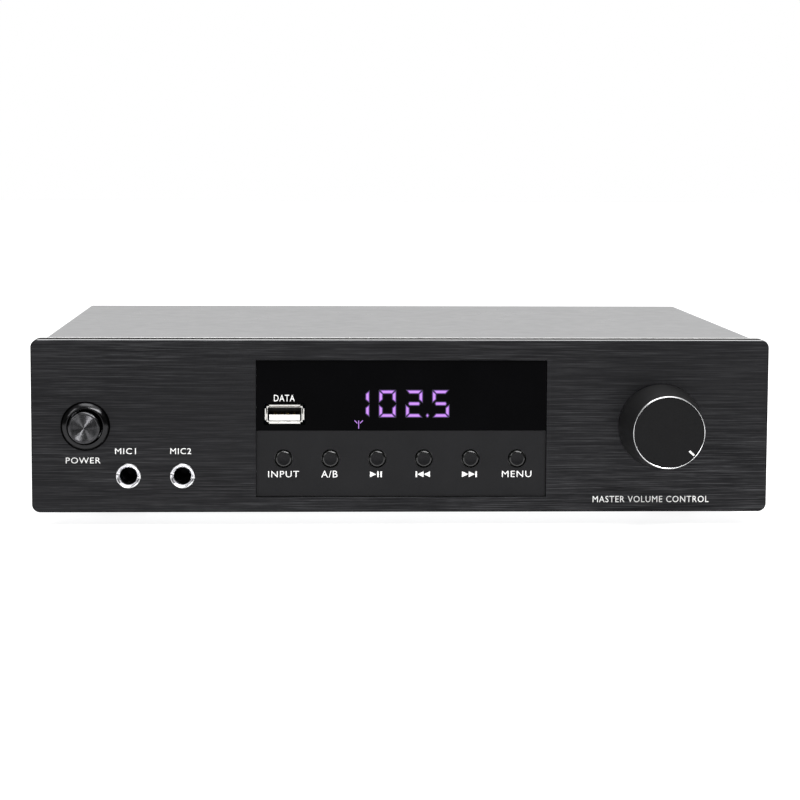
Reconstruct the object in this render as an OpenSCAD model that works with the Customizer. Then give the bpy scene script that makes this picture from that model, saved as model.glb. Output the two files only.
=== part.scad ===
// Compact stereo receiver: thick aluminium faceplate on a folded steel case, with its boards,
// toroidal transformer, controls and rear connectors. Millimetres, +Z up, front towards -Y.
// Modules are drawn with y measured back from the faceplate's front face; place() moves them
// so that the origin is under the middle of the whole receiver, on the surface it stands on.

/* [Faceplate] */
// Width of the faceplate
face_w = 270; // [268:0.5:290]
// Height of the faceplate
face_h = 63.5; // [63.5:0.5:70]
// Thickness of the faceplate
face_t = 8; // [7:0.5:9]
// Corner radius of the faceplate seen from the front
face_r = 3; // [2:0.5:5]
// Bright chamfer round the front edge
face_chamfer = 0.5; // [0.3:0.1:1]
// Height of the faceplate's lower edge above the surface
face_lift = 5; // [4:0.5:6]

/* [Case] */
// Outside width of the folded cover
case_w = 262; // [260:0.5:264]
// Distance from the faceplate's front to the back edge of the cover
case_back = 196; // [190:1:210]
// Sheet steel thickness
sheet = 1; // [0.8:0.1:1.2]
// Outside bend radius of the cover
bend_r = 1.8; // [1.5:0.1:3]
// Bevel on the cover's front edge
cover_bevel = 0.5; // [0.3:0.1:0.6]

/* [Centre panel] */
// Width of the opening for the window and the button panel
panel_w = 106.6; // [104:0.2:108]
// Height of the opening
panel_h = 50.4; // [49:0.2:52]
// Height of the grey button panel inside the opening
keys_h = 24.4; // [23:0.2:26]
// How far the panel lies behind the faceplate's front
panel_sunk = 0.8; // [0.4:0.1:1.2]
// Distance between the push buttons
key_pitch = 17.15; // [16:0.05:17.2]
// Diameter of a push button
key_d = 6.3; // [5.5:0.1:6.6]
// Travel of a push button
key_travel = 0.8; // [0.4:0.1:0.8]

/* [Knob and power button] */
// Diameter of the knob at its foot
knob_foot_d = 31; // [28:0.5:34]
// Diameter of the knob at its face
knob_face_d = 26.4; // [25.5:0.2:27]
// How far the knob stands out of the faceplate
knob_out = 21.6; // [20:0.2:24]
// Diameter of the power button
power_d = 11.8; // [11:0.1:12]
// How far the power button stands out
power_out = 6.6; // [6:0.2:8]
// Travel of the power button
power_travel = 3.4; // [2:0.1:3.6]

/* [Hidden] */
$fn = 48;
eps = 0.05;
run = 0.05; // radial running clearance of pins and shafts
screw_r = 1.3;
screw_head_r = 2.8;
screw_head_h = 1.6;

// heights
face_z = face_lift;
mid_z = face_z + face_h / 2;
top_z = face_z + face_h;
pan_z = face_z + 2;
floor_z = pan_z + sheet;

// depths, back from the faceplate's front
sub_y = face_t;
sub_t = 1.2;
behind = sub_y + sub_t;
board_y = 12.2;
board_t = 1.6;
cover_y = face_t + 1;
rear_y = case_back - 1;
rear_out = 10;
depth_all = knob_out + rear_y + rear_out;
front_y = knob_out - depth_all / 2;

// centre panel
panel_z = face_z + 5.6;
keys_top = panel_z + keys_h;
skin_t = 2.2;
skin_y = panel_sunk + skin_t;
key_z = face_z + 19.7;
key_r = key_d / 2;
stem_r = 1.7;
key_out = 0.7;
switch_h = 3.6;
// media socket
port_x = -42.8;
port_z = face_z + 36.1;
port_w = 13.1;
port_h = 5.7;
lip_w = 14.3;
lip_h = 6.9;
// display
digits_x = -0.4;
digits_z = face_z + 40;
// left-hand controls
power_x = -115.3;
mic_x = [-99.8, -80.1];
mic_z = face_z + 13.5;
mic_out = 0.9;
mic_r = 4.5;
mic_bore = 3.25;
screws_x = [-124, -66, 66, 124];
screws_z = [face_z + 8, top_z - 6];
pan_screw_x = [-90, 0, 90];
// knob
knob_x = 95.3;
knob_gap = 0.6;
shaft_r = 3;
bush_r = 4.5;

// feet
foot_x = 106;
foot_y = [44, 166];
foot_r = 9;
side_screw_y = [50, 160];
side_screw_z = floor_z + 6;
flange_h = 6.5;
lip_h_rear = 8;
lip_screw_x = [-110, 0, 110];
flange_screw_x = [-123, -72, 15, 118];
flange_screw_z = pan_z + 4;

// rear connectors
inlet_x = -103;
inlet_z = 36;
tuner_x = -66;
tuner_z = 42;
tuner_r = 4.76;
phono_x = [-42, -26, -10];
phono_z = [30, 46];
phono_r = 4.15;
phono_seat_r = 4.7;
phono_out = 10;
phono_screw_x = [-34, -18];
phono_screw_z = 38;
term_x = 66;
term_pitch = 17;
term_row_z = [28, 47];
lever_w = 10;
lever_y = 188;
lever_up = 5;
lever_tip = 17;
pin_r = 1;
term_screw_x = [49, 83];
term_screw_z = 37.5;

// main board
main_x = [-38, 122];
main_y = [62, 186];
main_z = floor_z + 6;
board_top = main_z + board_t;
wing_x = -78;
wing_y = 140;
stands = [[-32, 68], [-32, 120], [-32, 172], [116, 68], [116, 120], [116, 172], [-47, 147]];
chip_x = [36, 84];
chip_screw_z = board_top + 19;
control_screws = [for (x = [-57.5, 57.5], z = [panel_z + 4, panel_z + panel_h - 4]) [x, z]];
switch_ear = 8.5;
// transformer
toroid_x = -84;
toroid_y = 98;
toroid_r = 36;
toroid_h = 32;
toroid_hole = 12;
pad_t = 2;

// ---------------------------------------------------------------- shared shapes

module place() translate([0, front_y, 0]) children();

// Box between two opposite corners.
module block(a, b) translate(a) cube(b - a);

// Round rod along Y at x, z from y0 to y1; r2 is the radius at y1.
module rod_y(x, z, y0, y1, r1, r2 = -1)
    translate([x, y0, z]) rotate([-90, 0, 0])
        cylinder(h = y1 - y0, r1 = r1, r2 = r2 < 0 ? r1 : r2);

// Turned piece on the Y axis at x, z: the outline's points are [radius, y].
module turned_y(x, z, outline)
    translate([x, 0, z]) rotate([-90, 0, 0]) rotate_extrude() polygon(outline);

// Upright plate with rounded corners, centred on x, from y0 to y1 and z0 to z1.
module round_plate(x, w, z0, z1, y0, y1, r) {
    block([x - w / 2 + r, y0, z0], [x + w / 2 - r, y1, z1]);
    block([x - w / 2, y0, z0 + r], [x + w / 2, y1, z1 - r]);
    for (sx = [-1, 1], z = [z0 + r, z1 - r])
        rod_y(x + sx * (w / 2 - r), z, y0, y1, r);
}

// Pan-head cross-recess screw pointing along +Z from the underside of its head.
module screw(shank_l)
    difference() {
        union() {
            translate([0, 0, -screw_head_h])
                cylinder(h = screw_head_h, r1 = screw_head_r * 0.75, r2 = screw_head_r);
            cylinder(h = shank_l, r = screw_r);
        }
        for (a = [0, 90])
            rotate([0, 0, a]) translate([-screw_head_r * 0.55, -0.35, -screw_head_h - eps])
                cube([screw_head_r * 1.1, 0.7, screw_head_h * 0.6]);
    }

// The same screw driven from behind, towards the front, with the underside of its head at y.
module screw_forward(x, z, y, shank_l)
    translate([x, y, z]) rotate([90, 0, 0]) screw(shank_l);

// ---------------------------------------------------------------- faceplate and centre panel

// Rounded slab whose front edge is chamfered all round.
module chamfered_slab(w, h, t, r, c) {
    translate([-w / 2 + r, 0, 0]) rotate([90, 0, 90]) linear_extrude(w - 2 * r)
        polygon([[0, c], [c, 0], [t, 0], [t, h], [c, h], [0, h - c]]);
    translate([0, 0, r]) linear_extrude(h - 2 * r)
        polygon([[-w / 2 + c, 0], [w / 2 - c, 0], [w / 2, c], [w / 2, t], [-w / 2, t],
            [-w / 2, c]]);
    for (sx = [-1, 1], z = [r, h - r]) {
        rod_y(sx * (w / 2 - r), z, 0, c, r - c, r);
        rod_y(sx * (w / 2 - r), z, c, t, r);
    }
}

module faceplate() color([0.16, 0.16, 0.17]) difference() {
    translate([0, 0, face_z]) chamfered_slab(face_w, face_h, face_t, face_r, face_chamfer);
    block([-panel_w / 2, -eps, panel_z], [panel_w / 2, face_t + eps, panel_z + panel_h]);
    rod_y(power_x, mid_z, -eps, face_t + eps, 7.5);
    for (x = mic_x)
        rod_y(x, mic_z, -eps, face_t + eps, mic_r + 0.1);
    rod_y(knob_x, mid_z, -eps, face_t + eps, 8.2);
    // blind tapped holes for the screws from the subpanel
    for (x = screws_x, z = screws_z)
        rod_y(x, z, face_t - 5, face_t + eps, 1.4);
}

// Open-backed moulding that fills the faceplate opening between two heights.
module panel_moulding(z0, z1) {
    w = panel_w - 0.3;
    difference() {
        block([-w / 2, panel_sunk, z0], [w / 2, face_t, z1]);
        block([-w / 2 + 1.6, skin_y, z0 + 1.6], [w / 2 - 1.6, face_t + eps, z1 - 1.6]);
    }
}

module display_window() color([0.02, 0.02, 0.025]) difference() {
    panel_moulding(keys_top + 0.1, panel_z + panel_h - 0.15);
    round_plate(port_x, lip_w + 1, port_z - lip_h / 2 - 0.5, port_z + lip_h / 2 + 0.5,
        0, face_t + eps, 0.6);
}

function key_x(i) = (i - 2.5) * key_pitch - 0.3;

module button_panel() color([0.19, 0.19, 0.2]) difference() {
    panel_moulding(panel_z + 0.15, keys_top);
    for (i = [0:5])
        rod_y(key_x(i), key_z, 0, face_t, key_r + 0.25);
}

// Push button with a softened front edge, a retaining flange and a stem into its switch.
module push_button(i) color([0.13, 0.13, 0.14])
    turned_y(key_x(i), key_z, [
        [0, panel_sunk - key_out], [key_r - 0.5, panel_sunk - key_out],
        [key_r - 0.15, panel_sunk - key_out + 0.15], [key_r, panel_sunk - key_out + 0.5],
        [key_r, skin_y + 0.1], [key_r + 0.9, skin_y + 0.1], [key_r + 0.9, skin_y + 0.9],
        [stem_r + 0.6, skin_y + 0.9], [stem_r, skin_y + 1.5],
        [stem_r, board_y - switch_h + 1], [0, board_y - switch_h + 1]]);

module tact_switches() color([0.08, 0.08, 0.08])
    for (i = [0:5]) difference() {
        block([key_x(i) - 3, board_y - switch_h, key_z - 3],
            [key_x(i) + 3, board_y, key_z + 3]);
        rod_y(key_x(i), key_z, board_y - switch_h - eps, board_y - 1, stem_r + run);
    }

// ---------------------------------------------------------------- power button

module power_bezel() color([0.2, 0.2, 0.21])
    turned_y(power_x, mid_z, [
        [power_d / 2 + 0.4, -2.3], [power_d / 2 + 0.7, -2.6], [power_d / 2 + 1.1, -2.6],
        [9, -0.5], [9, 0], [7.4, 0], [7.4, face_t - 0.2], [power_d / 2 + 0.4, face_t - 0.2]]);

module power_button() color([0.3, 0.3, 0.32])
    turned_y(power_x, mid_z, [
        [0, -power_out], [power_d / 2 - 0.7, -power_out], [power_d / 2, -power_out + 0.7],
        [power_d / 2, 3.6], [power_d / 2 - 1.4, 3.6], [power_d / 2 - 1.4, 0], [0, 0]]);

module power_plunger() color([0.85, 0.85, 0.82]) {
    block([power_x - 1.6, 0, mid_z - 1.6], [power_x + 1.6, 18, mid_z + 1.6]);
    rod_y(power_x, mid_z, 0.01, 3, 3.4);
}

module power_switch() color([0.12, 0.12, 0.12]) difference() {
    union() {
        block([power_x - 11, behind, mid_z - 5], [power_x + 11, behind + 1.5, mid_z + 5]);
        block([power_x - 5, behind, mid_z - 5], [power_x + 5, behind + 17, mid_z + 5]);
        for (x = [-3, 0, 3], z = [-3, 3])
            block([power_x + x - 0.4, behind + 17 - eps, mid_z + z - 0.2],
                [power_x + x + 0.4, behind + 21, mid_z + z + 0.2]);
    }
    block([power_x - 1.8, behind - eps, mid_z - 1.8],
        [power_x + 1.8, behind + 14, mid_z + 1.8]);
    for (sx = [-1, 1])
        rod_y(power_x + sx * switch_ear, mid_z, behind - eps, behind + 2, 1.5);
}

// ---------------------------------------------------------------- volume control

module volume_knob() color([0.12, 0.12, 0.125])
    turned_y(knob_x, mid_z, [
        [0, -knob_out], [knob_face_d / 2 - 0.6, -knob_out],
        [knob_face_d / 2, -knob_out + 0.6], [knob_foot_d / 2, -knob_gap - 1],
        [knob_foot_d / 2, -knob_gap], [11.5, -knob_gap], [11.5, -knob_out + 3],
        [0, -knob_out + 3]]);

module knob_insert() color([0.1, 0.1, 0.1]) difference() {
    rod_y(knob_x, mid_z, -knob_out + 3, -knob_gap - 0.4, 11.5);
    rod_y(knob_x, mid_z, -knob_out + 6, 0, shaft_r);
    difference() {
        rod_y(knob_x, mid_z, -knob_out + 5, 0, 9.5);
        rod_y(knob_x, mid_z, -knob_out + 4, eps, 5.4);
        for (a = [0:60:120])
            translate([knob_x, 0, mid_z]) rotate([0, a, 0])
                block([-10, -knob_out + 4, -0.8], [10, eps, 0.8]);
    }
}

module encoder_shaft() color([0.75, 0.75, 0.76])
    rod_y(knob_x, mid_z, -knob_out + 6, behind + 5, shaft_r);

module encoder_body() color([0.6, 0.6, 0.62]) difference() {
    union() {
        rod_y(knob_x, mid_z, 2.6, behind + 0.5, bush_r);
        block([knob_x - 6, behind, mid_z - 6.2], [knob_x + 6, behind + 7, mid_z + 6.2]);
        for (x = [-2.5, 0, 2.5])
            block([knob_x + x - 0.4, behind + 5, mid_z - 9.5],
                [knob_x + x + 0.4, behind + 5.3, mid_z - 6]);
    }
    rod_y(knob_x, mid_z, 2, behind + 5.5, shaft_r + run);
}

module encoder_nut() color([0.8, 0.8, 0.8]) difference() {
    translate([knob_x, 5.8, mid_z]) rotate([-90, 0, 0]) cylinder(h = 2.2, r = 6.9, $fn = 6);
    rod_y(knob_x, mid_z, 5, 9, bush_r);
}

// ---------------------------------------------------------------- microphone jacks

module mic_jack(i) color([0.85, 0.85, 0.86])
    turned_y(mic_x[i], mic_z, [
        [mic_bore, -mic_out + 0.3], [mic_bore + 0.3, -mic_out], [mic_r - 0.3, -mic_out],
        [mic_r, -mic_out + 0.3], [mic_r, behind], [mic_bore, behind]]);

module mic_jack_housings() color([0.07, 0.07, 0.07])
    for (x = mic_x) difference() {
        block([x - 6, behind, mic_z - 6.5], [x + 6, behind + 24, mic_z + 6.5]);
        rod_y(x, mic_z, behind - eps, behind + 22, mic_bore + 0.4);
        block([x - 1.2, behind + 5, mic_z], [x + 1.2, behind + 20, mic_z + 7]);
    }

// ---------------------------------------------------------------- media socket

// Folded steel shell whose four lips flare out at the mouth, with open corners.
module media_port_shell() color([0.85, 0.85, 0.86]) {
    t = 0.35;
    mouth = panel_sunk - 0.3;
    depth = 15;
    difference() {
        block([port_x - port_w / 2, mouth + 0.6, port_z - port_h / 2],
            [port_x + port_w / 2, depth, port_z + port_h / 2]);
        block([port_x - port_w / 2 + t, 0, port_z - port_h / 2 + t],
            [port_x + port_w / 2 - t, depth - t, port_z + port_h / 2 - t]);
    }
    for (s = [-1, 1]) {
        translate([port_x, 0, port_z]) scale([1, 1, s]) rotate([90, 0, 90])
            linear_extrude(11.4, center = true)
                polygon([[mouth + 0.7, port_h / 2 - t], [mouth + 0.7, port_h / 2],
                    [mouth + 0.35, lip_h / 2], [mouth, lip_h / 2], [mouth, lip_h / 2 - t]]);
        translate([port_x, 0, port_z]) scale([s, 1, 1]) translate([0, 0, -2.1])
            linear_extrude(4.2)
                polygon([[port_w / 2 - t, mouth + 0.7], [port_w / 2, mouth + 0.7],
                    [lip_w / 2, mouth + 0.35], [lip_w / 2, mouth], [lip_w / 2 - t, mouth]]);
    }
}

module media_port_tongue() color([0.95, 0.95, 0.95]) {
    block([port_x - 5.6, panel_sunk + 0.5, port_z - 2.35],
        [port_x + 5.6, 12, port_z - 0.25]);
    block([port_x - 6.2, 11, port_z - 2.5], [port_x + 6.2, 14.65, port_z + 2.5]);
}

// ---------------------------------------------------------------- front boards

module control_board() color([0.05, 0.25, 0.12]) difference() {
    block([-60, board_y, panel_z + 1], [60, board_y + board_t, panel_z + panel_h - 1]);
    block([port_x - lip_w / 2 - 0.5, board_y - eps, port_z - 4.4],
        [port_x + lip_w / 2 + 0.5, board_y + 2, port_z + 4]);
    for (p = control_screws)
        rod_y(p[0], p[1], board_y - eps, board_y + 2, 1.6);
}

module display_module() color([0.04, 0.04, 0.04]) {
    block([digits_x - 21, skin_y + 0.6, digits_z - 7.2],
        [digits_x + 21, board_y, digits_z + 7.2]);
}

module decoder_board() color([0.05, 0.12, 0.3]) {
    top = port_z - port_h / 2;
    block([port_x - 12, board_y + board_t, top - board_t], [port_x + 14, 52, top]);
    block([port_x - 6, 28, top - eps], [port_x + 4, 38, top + 1.5]);
    block([port_x - 10, 44, top - eps], [port_x + 10, 49, top + 5]);
}

// ---------------------------------------------------------------- case

// Upright steel sheet with a folded foot on the pan and spacers for the control board.
module front_subpanel() color([0.62, 0.63, 0.64]) difference() {
    union() {
        block([-128, sub_y, floor_z], [128, behind, top_z - 2]);
        block([-128, behind - eps, floor_z], [128, behind + 9, floor_z + sheet]);
        for (p = control_screws)
            rod_y(p[0], p[1], behind - eps, board_y, 2.6);
    }
    block([-panel_w / 2 + 1.5, 0, panel_z + 1.5],
        [panel_w / 2 - 1.5, behind + eps, panel_z + panel_h - 1.5]);
    rod_y(power_x, mid_z, 0, 20, 4.2);
    for (sx = [-1, 1])
        rod_y(power_x + sx * switch_ear, mid_z, 0, 20, 1.4);
    for (x = mic_x)
        rod_y(x, mic_z, 0, 20, mic_r + 0.15);
    rod_y(knob_x, mid_z, 0, 20, bush_r + 0.15);
    for (x = screws_x, z = screws_z)
        rod_y(x, z, 0, 20, 1.6);
    for (p = control_screws)
        rod_y(p[0], p[1], behind, 20, 1.4);
    for (x = pan_screw_x)
        translate([x, behind + 5, floor_z - 1]) cylinder(h = 4, r = 1.4);
}

module chassis_base() color([0.6, 0.61, 0.62]) difference() {
    union() {
        block([-case_w / 2 + sheet + 0.1, sub_y + 0.3, pan_z],
            [case_w / 2 - sheet - 0.1, rear_y - sheet, floor_z]);
        for (sx = [-1, 1])
            translate([sx * (case_w / 2 - sheet * 1.5 - 0.1), 0, 0])
                block([-sheet / 2, cover_y + 12, pan_z],
                    [sheet / 2, rear_y - sheet, floor_z + 12]);
        block([-case_w / 2 + sheet + 0.1, rear_y - 2 * sheet, pan_z],
            [case_w / 2 - sheet - 0.1, rear_y - sheet, floor_z + flange_h]);
    }
    for (sx = [-1, 1], y = foot_y)
        translate([sx * foot_x, y, pan_z - 1]) cylinder(h = 4, r = 1.7);
    for (sx = [-1, 1], y = side_screw_y)
        translate([sx * case_w / 2, y, side_screw_z]) rotate([0, 90, 0])
            cylinder(h = 20, r = 1.5, center = true);
    for (x = pan_screw_x)
        translate([x, behind + 5, pan_z - 1]) cylinder(h = 4, r = 1.6);
    for (x = flange_screw_x)
        rod_y(x, flange_screw_z, rear_y - 6, rear_y + 1, 1.4);
    translate([toroid_x, toroid_y, pan_z - 1]) cylinder(h = 4, r = 3.1);
    // cooling slots below the heatsink
    for (i = [0:9])
        block([14 + i * 10, 70, pan_z - 1], [17.5 + i * 10, 104, floor_z + 1]);
}

module rear_panel() color([0.1, 0.1, 0.105]) difference() {
    round_plate(0, case_w - 2 * sheet - 0.2, pan_z, top_z - sheet - 0.1,
        rear_y - sheet, rear_y, 1);
    block([inlet_x - 13.5, 180, inlet_z - 10], [inlet_x + 13.5, 200, inlet_z + 10]);
    rod_y(tuner_x, tuner_z, 180, 200, tuner_r + 0.15);
    for (x = phono_x, z = phono_z)
        rod_y(x, z, 180, 200, phono_seat_r + 0.2);
    for (x = phono_screw_x)
        rod_y(x, phono_screw_z, 180, 200, 1.5);
    block([term_x - 34.2, 180, term_row_z[0] - 8.7],
        [term_x + 34.2, 200, term_row_z[1] + 8.7]);
    for (x = lip_screw_x)
        rod_y(x, top_z - 4.5, 180, 200, 1.4);
    for (x = flange_screw_x)
        rod_y(x, flange_screw_z, 180, 200, 1.5);
    // cooling slots above the phono sockets
    for (i = [0:7])
        block([-50 + i * 6, 180, 53.5], [-47 + i * 6, 200, 59]);
}

// Cross-section of the bent sheet: both walls and the top, shrunk by t all round the outside.
module cover_outline(t, foot)
    union() {
        translate([-case_w / 2 + t, pan_z - foot])
            square([case_w - 2 * t, top_z - bend_r - pan_z + foot]);
        translate([-case_w / 2 + bend_r, top_z - bend_r - 1])
            square([case_w - 2 * bend_r, bend_r + 1 - t]);
        for (sx = [-1, 1])
            translate([sx * (case_w / 2 - bend_r), top_z - bend_r]) circle(bend_r - t);
    }

// U-shaped cover with cooling slots in both sides and a lip behind the rear panel.
module top_cover() color([0.42, 0.42, 0.43]) difference() {
    union() {
        translate([0, case_back, 0]) rotate([90, 0, 0]) linear_extrude(case_back - cover_y)
            difference() {
                cover_outline(0, 0);
                cover_outline(sheet, 1);
            }
        block([-case_w / 2 + bend_r + 0.2, rear_y, top_z - lip_h_rear],
            [case_w / 2 - bend_r - 0.2, case_back, top_z - sheet / 2]);
    }
    // bevelled front edge of the top
    translate([-case_w / 2, cover_y, top_z]) rotate([90, 0, 90]) linear_extrude(case_w)
        polygon([[-1, eps], [-1, -cover_bevel - 1], [cover_bevel + eps, eps]]);
    for (x = lip_screw_x)
        rod_y(x, top_z - 4.5, 180, 200, 1.7);
    for (sx = [-1, 1], y = side_screw_y)
        translate([sx * case_w / 2, y, side_screw_z]) rotate([0, 90, 0])
            cylinder(h = 20, r = 1.7, center = true);
    for (sx = [-1, 1], i = [0:13])
        translate([sx * case_w / 2, 62 + i * 7, 0])
            block([-3, 0, mid_z - 9], [3, 2.6, mid_z + 15]);
}

module rubber_feet() color([0.05, 0.05, 0.05])
    for (sx = [-1, 1], y = foot_y)
        translate([sx * foot_x, y, 0]) difference() {
            union() {
                cylinder(h = 0.8, r1 = foot_r - 0.8, r2 = foot_r);
                translate([0, 0, 0.8]) cylinder(h = pan_z - 0.8, r1 = foot_r, r2 = foot_r + 0.8);
            }
            translate([0, 0, -1]) cylinder(h = 4, r = 4);
            cylinder(h = 20, r = 1.8);
        }

// Black screws of the case, all M3 pan heads of different lengths.
module case_screws() color([0.12, 0.12, 0.12]) {
    for (sx = [-1, 1], y = foot_y)
        translate([sx * foot_x, y, 3]) screw(9);
    for (sx = [-1, 1], y = side_screw_y)
        translate([sx * case_w / 2, y, side_screw_z]) rotate([0, -90 * sx, 0]) screw(6);
    for (x = pan_screw_x)
        translate([x, behind + 5, pan_z]) screw(4);
    for (x = lip_screw_x)
        screw_forward(x, top_z - 4.5, case_back, 5);
    for (x = flange_screw_x)
        screw_forward(x, flange_screw_z, rear_y, 5);
    for (x = phono_screw_x)
        screw_forward(x, phono_screw_z, rear_y, 7);
    for (x = term_screw_x)
        screw_forward(x, term_screw_z, rear_y + 3, 8);
    for (x = screws_x, z = screws_z)
        screw_forward(x, z, behind, 5);
}

// ---------------------------------------------------------------- boards and power supply

module main_board() color([0.06, 0.28, 0.13]) difference() {
    union() {
        block([main_x[0], main_y[0], main_z], [main_x[1], main_y[1], board_top]);
        block([wing_x, wing_y, main_z], [main_x[0] + eps, main_y[1], board_top]);
    }
    for (p = stands)
        translate([p[0], p[1], main_z - 1]) cylinder(h = 5, r = 1.6);
}

module board_standoffs() color([0.8, 0.7, 0.35])
    for (p = stands)
        translate([p[0], p[1], floor_z]) difference() {
            cylinder(h = main_z - floor_z, r = 3);
            translate([0, 0, 1]) cylinder(h = main_z - floor_z, r = 1.4);
        }

// Zinc-plated screws inside the case.
module board_screws() color([0.75, 0.75, 0.76]) {
    for (p = stands)
        translate([p[0], p[1], board_top]) rotate([180, 0, 0]) screw(6);
    for (p = control_screws)
        screw_forward(p[0], p[1], board_y + board_t, 4);
    for (sx = [-1, 1])
        screw_forward(power_x + sx * switch_ear, mid_z, behind + 1.5, 2.5);
    for (x = chip_x)
        screw_forward(x, chip_screw_z, 97, 8);
}

module heatsink() color([0.75, 0.76, 0.77]) difference() {
    union() {
        block([8, 88, board_top], [112, 92, board_top + 42]);
        for (i = [0:12])
            translate([8.5 + i * 8.45, 0, 0])
                block([0, 70, board_top], [1.5, 88 + eps, board_top + 42]);
    }
    for (x = chip_x)
        rod_y(x, chip_screw_z, 88.5, 93, 1.4);
}

module amplifier_chips() color([0.08, 0.08, 0.08])
    for (x = chip_x)
        difference() {
            union() {
                block([x - 10, 92, board_top + 6], [x + 10, 97, board_top + 23]);
                for (i = [-3:3])
                    translate([x + i * 2.6, 0, 0])
                        block([-0.4, 94, board_top], [0.4, 95, board_top + 6 + eps]);
            }
            rod_y(x, chip_screw_z, 91, 98, 1.5);
        }

// Can-type electrolytic capacitor with a rolled groove near its foot.
module can(x, y, r, h)
    translate([x, y, board_top]) rotate_extrude()
        polygon([[0, 0], [r, 0], [r, 2], [r - 0.6, 2.8], [r, 3.6], [r, h - 0.8],
            [r - 0.8, h], [0, h]]);

module filter_capacitors() color([0.09, 0.12, 0.25]) {
    for (y = [80, 106, 132])
        can(-19, y, 11, 32);
    for (x = [6, 20, 100], y = [106, 120])
        can(x, y, 4, 12);
}

module board_components() color([0.55, 0.35, 0.12]) {
    // output chokes
    for (x = [44, 62, 80, 98])
        translate([x, 166, board_top]) rotate_extrude()
            polygon([[3, 0], [8, 0], [8, 9], [3, 9]]);
    // speaker relays
    for (x = [50, 78])
        translate([x, 138, board_top]) cube([19, 15, 15]);
    // sockets for the ribbon cable and for the transformer's leads
    block([18, 64, board_top], [44, 68.6, board_top + 8]);
    block([-37, 90, board_top], [-31, 106, board_top + 8]);
    // preamplifier chips behind the phono sockets
    for (x = [-24, -4, 16])
        translate([x, 158, board_top]) cube([14, 8, 3]);
}

module toroid_transformer() color([0.72, 0.45, 0.2])
    translate([toroid_x, toroid_y, floor_z + pad_t]) rotate_extrude()
        polygon([
            [toroid_hole + 3, 0], [toroid_r - 5, 0], [toroid_r - 1.5, 1.5], [toroid_r, 5],
            [toroid_r, toroid_h - 5], [toroid_r - 1.5, toroid_h - 1.5],
            [toroid_r - 5, toroid_h], [toroid_hole + 3, toroid_h],
            [toroid_hole, toroid_h - 3], [toroid_hole, 3]]);

module toroid_clamp() color([0.5, 0.5, 0.52])
    translate([toroid_x, toroid_y, 0]) {
        translate([0, 0, floor_z]) difference() {
            cylinder(h = pad_t, r = toroid_r);
            translate([0, 0, -1]) cylinder(h = 5, r = 3.2);
        }
        translate([0, 0, floor_z + pad_t + toroid_h]) rotate_extrude()
            polygon([[3.2, -1], [9, -1], [toroid_hole + 3, 0], [24, 0], [24, 1.5],
                [toroid_hole + 3, 1.5], [8, 0.5], [3.2, 0.5]]);
        translate([0, 0, pan_z - 1.8]) cylinder(h = 1.8, r = 5.5);
        translate([0, 0, pan_z - 0.1]) cylinder(h = toroid_h + 10, r = 3);
        translate([0, 0, floor_z + pad_t + toroid_h + 0.5]) cylinder(h = 5, r = 5.5, $fn = 6);
    }

// Flat cable folded down from the control board and back to the main board.
module ribbon_cable() color([0.85, 0.85, 0.82]) {
    t = 0.8;
    r = 4;
    y0 = board_y + board_t;
    z_up = panel_z + 24;
    z_low = main_z + board_t + 4;
    translate([20, 0, 0]) rotate([90, 0, 90]) linear_extrude(22) {
        translate([y0, z_up - t]) square([12 - r, t]);
        translate([y0 + 12 - r, z_up - r - t / 2 - 0.4]) intersection() {
            difference() {
                circle(r + t);
                circle(r);
            }
            square(r + t);
        }
        translate([y0 + 12, z_low + r]) square([t, z_up - z_low - 2 * r - t]);
        translate([y0 + 12 + r + t, z_low + r]) rotate(180) intersection() {
            difference() {
                circle(r + t);
                circle(r);
            }
            square(r + t);
        }
        translate([y0 + 12 + r + t, z_low - t]) square([64 - y0 - 12 - r - t, t]);
    }
    block([19, y0, z_up - 3], [43, y0 + 4, z_up - t]);
}

// Round wire swept along a list of points, eight sides, a ring at every point.
function unit(v) = v / norm(v);
function heading(p, i) = unit(p[min(i + 1, len(p) - 1)] - p[max(i - 1, 0)]);
function side_of(d) = unit(cross(d, abs(d[2]) > 0.9 ? [1, 0, 0] : [0, 0, 1]));
module wire(path, r, sides = 8) {
    n = len(path);
    rings = [for (i = [0:n - 1]) let (d = heading(path, i), u = side_of(d), v = cross(d, u))
        for (k = [0:sides - 1])
            path[i] + r * (cos(360 * k / sides) * u + sin(360 * k / sides) * v)];
    faces = concat(
        [[for (k = [0:sides - 1]) k]],
        [[for (k = [0:sides - 1]) (n - 1) * sides + sides - 1 - k]],
        [for (i = [0:n - 2], k = [0:sides - 1])
            [i * sides + (k + 1) % sides, i * sides + k, (i + 1) * sides + k,
                (i + 1) * sides + (k + 1) % sides]]);
    polyhedron(rings, faces);
}

// Smooth route through hand-chosen points, with straight first and last stretches.
function spline_at(a, b, c, d, t) =
    0.5 * (2 * b + (c - a) * t + (2 * a - 5 * b + 4 * c - d) * t * t
        + (3 * b - a - 3 * c + d) * t * t * t);
function smooth(p) = concat([p[0]],
    [for (i = [1:len(p) - 3], s = [0:2])
        spline_at(p[i - 1], p[i], p[i + 1], p[i + 2], s / 3)],
    [p[len(p) - 2], p[len(p) - 1]]);

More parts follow.
